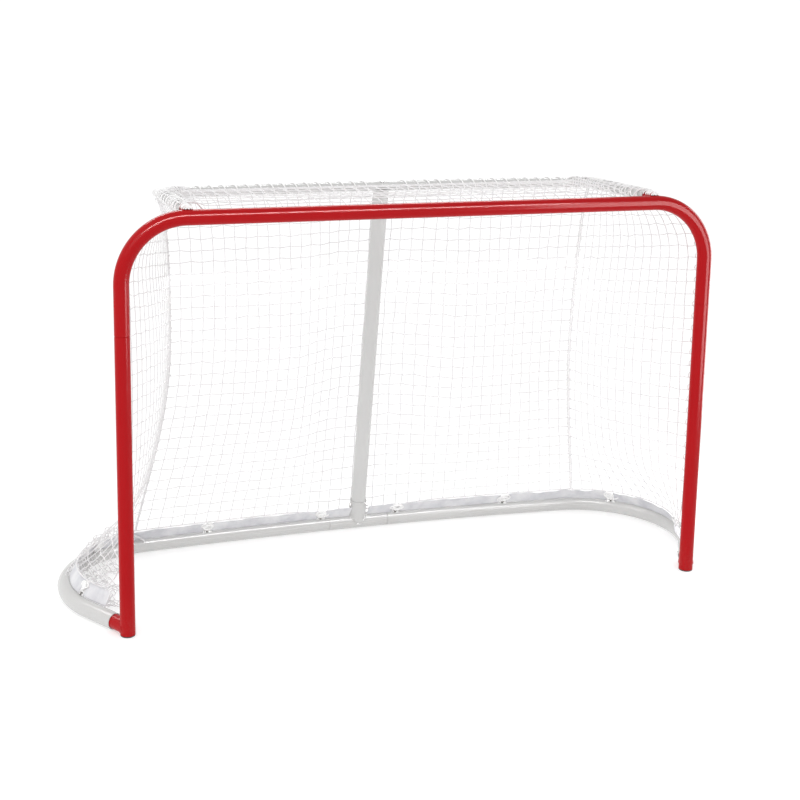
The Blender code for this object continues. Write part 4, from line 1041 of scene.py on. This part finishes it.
def bend_loops(side, level, upright):
    """Cord wound round the shelf's bend and out round the corner of the net: the loops reach as far as the
    net's edges, the lesser of dx / cos a and dy / sin a from the bend's middle."""
    corner = net_shelf(NET_EDGE)[:2]
    turn = np.linspace(0, CORNER_LOOPS, 24 * CORNER_LOOPS)
    angle = np.pi / 2 * np.clip(turn / CORNER_LOOPS, 0.02, 0.98)
    edge = np.minimum((corner[0] - SHELF_TURN_X) / np.cos(angle), (corner[1] - SHELF_TURN_Y) / np.sin(angle))
    swing = 2 * np.pi * turn
    out = np.where(np.cos(swing) > 0, edge + BORDER - SHELF_CORNER, level) * np.cos(swing)
    middle = np.stack([-SHELF_TURN_X - SHELF_CORNER * np.cos(angle),
                       SHELF_TURN_Y + SHELF_CORNER * np.sin(angle), SHELF_Z + 0 * angle], axis=-1)
    spokes = np.stack([-out * np.cos(angle), out * np.sin(angle), upright * np.sin(swing)], axis=-1)
    return cord(mirrored(middle + spokes, side), LACE_CORD / 2, mirrored(spokes, side))


def stub_loops(side):
    """Cord swung to and fro over the shelf's stub: small loops that close its end, then loops along it."""
    turn = np.linspace(0, LOOPS, 24 * LOOPS)
    over = SHELF_TUBE / 2 - SHELF_WALL - FIT_GAP + LACE_CORD / 2 + GAP + LOOP_RISE * np.cos(2.3 * turn)
    reach = CAP_REACH + (over - CAP_REACH) * np.clip(turn / CAP_TURNS, 0, 1)
    swing = np.minimum(LOOP_SWING, np.arccos(0.9 * CAP_REACH / reach)) * np.sin(np.pi * turn)
    back = np.clip((turn - CAP_TURNS) / (LOOPS - CAP_TURNS), 0, 1)
    along = LOOPS_START + (LOOPS_END - LOOPS_START) * back
    middle = np.stack([side * SHELF_X + 0 * turn, along, SHELF_Z + 0 * turn], axis=-1)
    spokes = np.stack([reach * np.sin(swing), 0 * turn, reach * np.cos(swing)], axis=-1)
    return cord(middle + spokes, LACE_CORD / 2, spokes)


def post_lacing(side):
    """Thin cord round the rod behind a post and the net's front edge, where the two run side by side."""
    share = np.linspace(0, 1, 400)
    front = side_surface(side)(0 * share, share)
    beside = (front[:, 2] > POST_LACE_LOW) & (np.abs(front[:, 1] - NET_FRONT_Y) < POST_LACE_STRAY)
    return thin_lacing(front[beside] - np.array([0, (ROD + NET_CORD) / 4, 0]), POST_LACE, 18)


def lacing():
    """The cords that close the net's rear corners and tie it to the shelf, its stubs and the posts' rods."""
    for side in (-1, 1):
        closing = thin_lacing(crease(side, np.linspace(0.01, 0.985, 200)), CREASE_LACE, 14)
        piece(side_name(side) + "_corner_lacing", closing, "white_lacing_cord")
    upright = SHELF_TUBE / 2 + LACE_CORD / 2 + GAP
    level = upright + BORDER
    for side in (-1, 1):
        name = side_name(side)
        piece(name + "_bar_lacing", bar_lacing(side, level, upright), "white_lacing_cord",
              (name + "_shelf_lacing",))
        piece(name + "_arm_lacing", arm_lacing(side, level, upright), "white_lacing_cord")
        piece(name + "_bend_lacing", bend_loops(side, level, upright), "white_lacing_cord")
        piece(name + "_stub_loops", stub_loops(side), "white_lacing_cord")
        piece(name + "_post_lacing", post_lacing(side), "white_lacing_cord")


# Skirt and ties

def skirt_strip(side, name, start, end, flutter):
    """A length of cloth: its foot follows the rail, and its width leans inward and waves by two sines."""
    length = abs(end - start)
    along = np.linspace(start, end, max(24, int(length / SKIRT_STEP)))
    s, up = np.meshgrid(along, np.linspace(0, 1, 10), indexing="ij")
    waves = np.sin(2 * np.pi * s / SKIRT_WAVE) + 0.6 * np.sin(2 * np.pi * s / SKIRT_RIPPLE + 1.0)
    flutter = flutter * up * waves
    inward = SKIRT_REACH * math.sin(SKIRT_SEAT) + SKIRT_WIDTH * up * math.sin(SKIRT_LEAN) + flutter
    height = (RAIL_Z + SKIRT_REACH * math.cos(SKIRT_SEAT) + SKIRT_WIDTH * up * math.cos(SKIRT_LEAN) + flutter
              - SKIRT_CURL * up ** 2)
    skins = sheet_skin(base_place(s, inward, height), SKIRT_WIDTH, length)
    cloth = piece("%s_cloth_%s" % (side, name), skins, "grey_coated_cloth", ("%s_skirt_%s" % (side, name),))
    wall = cloth.modifiers.new("cloth", "SOLIDIFY")
    wall.thickness = SKIRT_THICK
    wall.offset = 0


def skirt():
    """The lengths of skirt on each side."""
    marks = [SKIRT_FRONT, *TIES.values(), BASE_HALF - SOCKET_TUBE / 2 - SKIRT_REAR_CLEAR]
    names = [*TIES, "centre"]
    for side in (-1, 1):
        for index, (name, first, last) in enumerate(zip(names, marks, marks[1:])):
            start = first if index == 0 else first + TIE_GAP
            end = last if index == len(names) - 1 else last - TIE_GAP
            if side > 0:
                start, end = 2 * BASE_HALF - end, 2 * BASE_HALF - start
            loose = side > 0 and name in ("corner", "side")
            skirt_strip(side_name(side), name, start, end, LOOSE_FLUTTER if loose else TAUT_FLUTTER)


def tie_frame(along):
    """A tie's own directions on the rail: its seat, up from the rail, along it and level across it."""
    middle = base_place(np.float64(along))
    inward = base_place(np.float64(along), 1.0) - middle
    up = inward * math.sin(SKIRT_SEAT) + UP * math.cos(SKIRT_SEAT)
    sideways = unit(np.cross(up, inward))
    return middle + up * RAIL_TUBE / 2, up, sideways, np.cross(sideways, up)


def bunch(seat, sideways, level, shift):
    """One cord whose loops gather, widen, drift and lift by slow sines, and whose ends run out as tails."""
    inward = unit(level - level[2] * UP)
    stand = math.cos(SKIRT_LEAN) * UP + math.sin(SKIRT_LEAN) * inward
    outward = np.cross(sideways, stand)
    outward *= np.sign(outward @ inward)
    turn = np.linspace(0, 1, 420)
    wave = lambda count, start: np.sin(2 * np.pi * (count * turn + start))
    tail = np.clip((np.abs(2 * turn - 1) - TAIL_FROM) / (1 - TAIL_FROM), 0, 1)
    gather = 1 - TIE_GATHER + TIE_GATHER * wave(2.9, shift)
    wide = gather * (TIE_WIDE + TIE_WIDE_SWELL * wave(1.7, shift)) + TAIL_WIDE * tail
    tall = gather * (TIE_TALL + TIE_TALL_SWELL * wave(2.3, 2 * shift)) + TAIL_TALL * tail
    angle = 2 * np.pi * (TIE_TURNS * turn + shift)
    middle = (seat + np.outer(TIE_RISE + TIE_DRIFT * wave(1.3, shift) + TAIL_RISE * tail, stand)
              + np.outer(TIE_OUT + TIE_DRIFT * wave(3.1, shift), outward)
              + np.outer(TIE_DRIFT * wave(0.9, 3 * shift), sideways))
    spokes = np.outer(wide * np.cos(angle), sideways) + np.outer(tall * np.sin(angle), stand)
    return cord(middle + spokes, TIE_CORD / 2, spokes)


def ties():
    """At each gap in the skirt: a headed stud and a bunch of cord."""
    for side in (-1, 1):
        for number, (name, along) in enumerate(TIES.items()):
            seat, up, sideways, level = tie_frame(along if side < 0 else 2 * BASE_HALF - along)
            label = side_name(side) + "_" + name
            piece(label + "_stud", turned(STUD, seat, up, 24), "zinc_plated_steel", crisp=True)
            skins = bunch(seat, sideways, level, TIE_SHIFT * number + SIDE_SHIFT * (side > 0))
            piece(label + "_cord", skins, "white_lacing_cord", (label + "_tie",))


# Fastenings

def screw_skins(place, direction):
    """A domed screw with a socket: its head's seat at place, its shank along direction."""
    dome = arc((0, 0), 1, math.pi / 2, 0.15, 9)
    crown = np.stack([dome[:, 0] * SCREW_HEAD / 2, -SCREW_DOME * dome[:, 1]], axis=-1)
    crown = crown[crown[:, 0] > SCREW_SOCKET * 1.2]
    rim = np.array([[SCREW_SOCKET, -SCREW_DOME * 0.98], [SCREW_SOCKET * 1.02, -SCREW_DOME]])
    bowl = np.array([[0, -SCREW_DOME * 0.35], [SCREW_SOCKET * 0.9, -SCREW_DOME * 0.38]])
    shank = [[SCREW_HEAD / 2, 0], [SCREW_SHANK / 2, 0], [SCREW_SHANK / 2, SCREW_LENGTH], [0, SCREW_LENGTH]]
    return turned(np.concatenate([bowl, rim, crown, shank]), place, direction, 30)


def fastenings():
    """The screws that show: through the posts' seams from behind, and down through the shelf's arms."""
    seats = {"_seam_screw": (1, FRAME_TUBE / 2 + GAP), "_shelf_screw": (2, SHELF_Z + SHELF_TUBE / 2 + GAP)}
    for side in (-1, 1):
        for kind, (axis, level) in seats.items():
            name = side_name(side) + kind
            low, high = (np.array(corner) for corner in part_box(name))
            seat = (low + high) / 2
            seat[axis] = level
            skins = screw_skins(seat, -np.eye(3)[axis])
            piece(name + "_finish", skins, "zinc_plated_steel", (name,), crisp=True)


def carried_over():
    """Pieces shown as their own solids: each gets the finish of its slot, and zinc a paler plate."""
    finishes = {**FINISHES, "zinc_plated_steel": PALE_ZINC}
    for name, node in frame["nodes"].items():
        if not node.hide_render:
            slot = next(part["material_slot"] for part in frame["record"]["subparts"] if part["node"] == name)
            node.data.materials.clear()
            node.data.materials.append(finishes[slot])


# Studio

def floor():
    """A wide pale floor that glows a little, so that it fades into the surround."""
    mesh = bpy.data.meshes.new("floor")
    corners = [(x * FLOOR_REACH, y * FLOOR_REACH, 0) for x, y in ((-1, -1), (1, -1), (1, 1), (-1, 1))]
    mesh.from_pydata(corners, [], [(0, 1, 2, 3)])
    made = bpy.data.objects.new("floor", mesh)
    bpy.context.scene.collection.objects.link(made)
    pale = bpy.data.materials.new("pale_floor")
    pale.use_nodes = True
    settings = {"Base Color": (FLOOR_SHADE, FLOOR_SHADE, FLOOR_SHADE, 1), "Emission Color": PLAIN,
                "Emission Strength": FLOOR_GLOW, "Roughness": 0.9, "Specular IOR Level": 0.1}
    for label, value in settings.items():
        pale.node_tree.nodes["Principled BSDF"].inputs[label].default_value = value
    mesh.materials.append(pale)


def surround():
    """A pale surround: even low down, and brighter on the left and dimmer on the right higher up, by
    1.1 + high (-0.5 x - 0.1)."""
    world = bpy.data.worlds.new("surround")
    world.use_nodes = True
    tree = world.node_tree
    axes = axes_of(tree, tree.nodes.new("ShaderNodeTexCoord").outputs["Generated"])
    high = ramp(tree, axes["Z"], low=0.15, high=0.5)
    fall = math_node(tree, "MULTIPLY_ADD", axes["X"], SURROUND_SLOPE, SURROUND_DIM)
    strength = math_node(tree, "MULTIPLY_ADD", high, fall, SURROUND)
    tree.links.new(strength, tree.nodes["Background"].inputs["Strength"])
    tree.nodes["Background"].inputs["Color"].default_value = PLAIN
    bpy.context.scene.world = world
    bpy.context.scene.view_settings.view_transform = "Standard"


def lamps():
    """The lamps, out of the camera's sight. Most show only as streaks on glossy tubes."""
    for name, (place, target, size, watts, on_matt) in LAMPS.items():
        light = bpy.data.lights.new(name, "AREA")
        light.shape = "RECTANGLE"
        light.size, light.size_y = size
        light.energy = watts
        lamp = bpy.data.objects.new(name, light)
        lamp.location = place
        lamp.rotation_mode = "QUATERNION"
        lamp.rotation_quaternion = (Vector(target) - Vector(place)).to_track_quat("-Z", "Y")
        lamp.visible_diffuse = on_matt
        lamp.visible_camera = False
        bpy.context.scene.collection.objects.link(lamp)


def camera():
    """The photograph's view: position, turn and focal length, with the axis a little off the middle."""
    lens = bpy.data.cameras.new("camera")
    lens.sensor_width = FILM
    lens.lens = FOCAL_PIXELS / PICTURE * FILM
    lens.shift_x = (PICTURE / 2 - AXIS_PIXEL[0]) / PICTURE
    lens.shift_y = -(PICTURE / 2 - AXIS_PIXEL[1]) / PICTURE
    forward = np.array([math.sin(CAMERA_YAW) * math.cos(CAMERA_PITCH),
                        math.cos(CAMERA_YAW) * math.cos(CAMERA_PITCH), math.sin(CAMERA_PITCH)])
    level = unit(np.cross(forward, UP))
    above = np.cross(level, forward)
    right = level * math.cos(CAMERA_ROLL) + above * math.sin(CAMERA_ROLL)
    up = above * math.cos(CAMERA_ROLL) - level * math.sin(CAMERA_ROLL)
    turn = np.stack([right, up, -forward], axis=-1)
    made = bpy.data.objects.new("camera", lens)
    rows = [[*row, place] for row, place in zip(turn, CAMERA_PLACE)]
    made.matrix_world = Matrix([*rows, (0, 0, 0, 1)])
    bpy.context.scene.collection.objects.link(made)
    bpy.context.scene.camera = made


front_frame()
stubs_and_welds()
base_frame()
leaning_post()
shelf()
rods()
netting()
lacing()
skirt()
ties()
fastenings()
carried_over()
floor()
surround()
lamps()
camera()
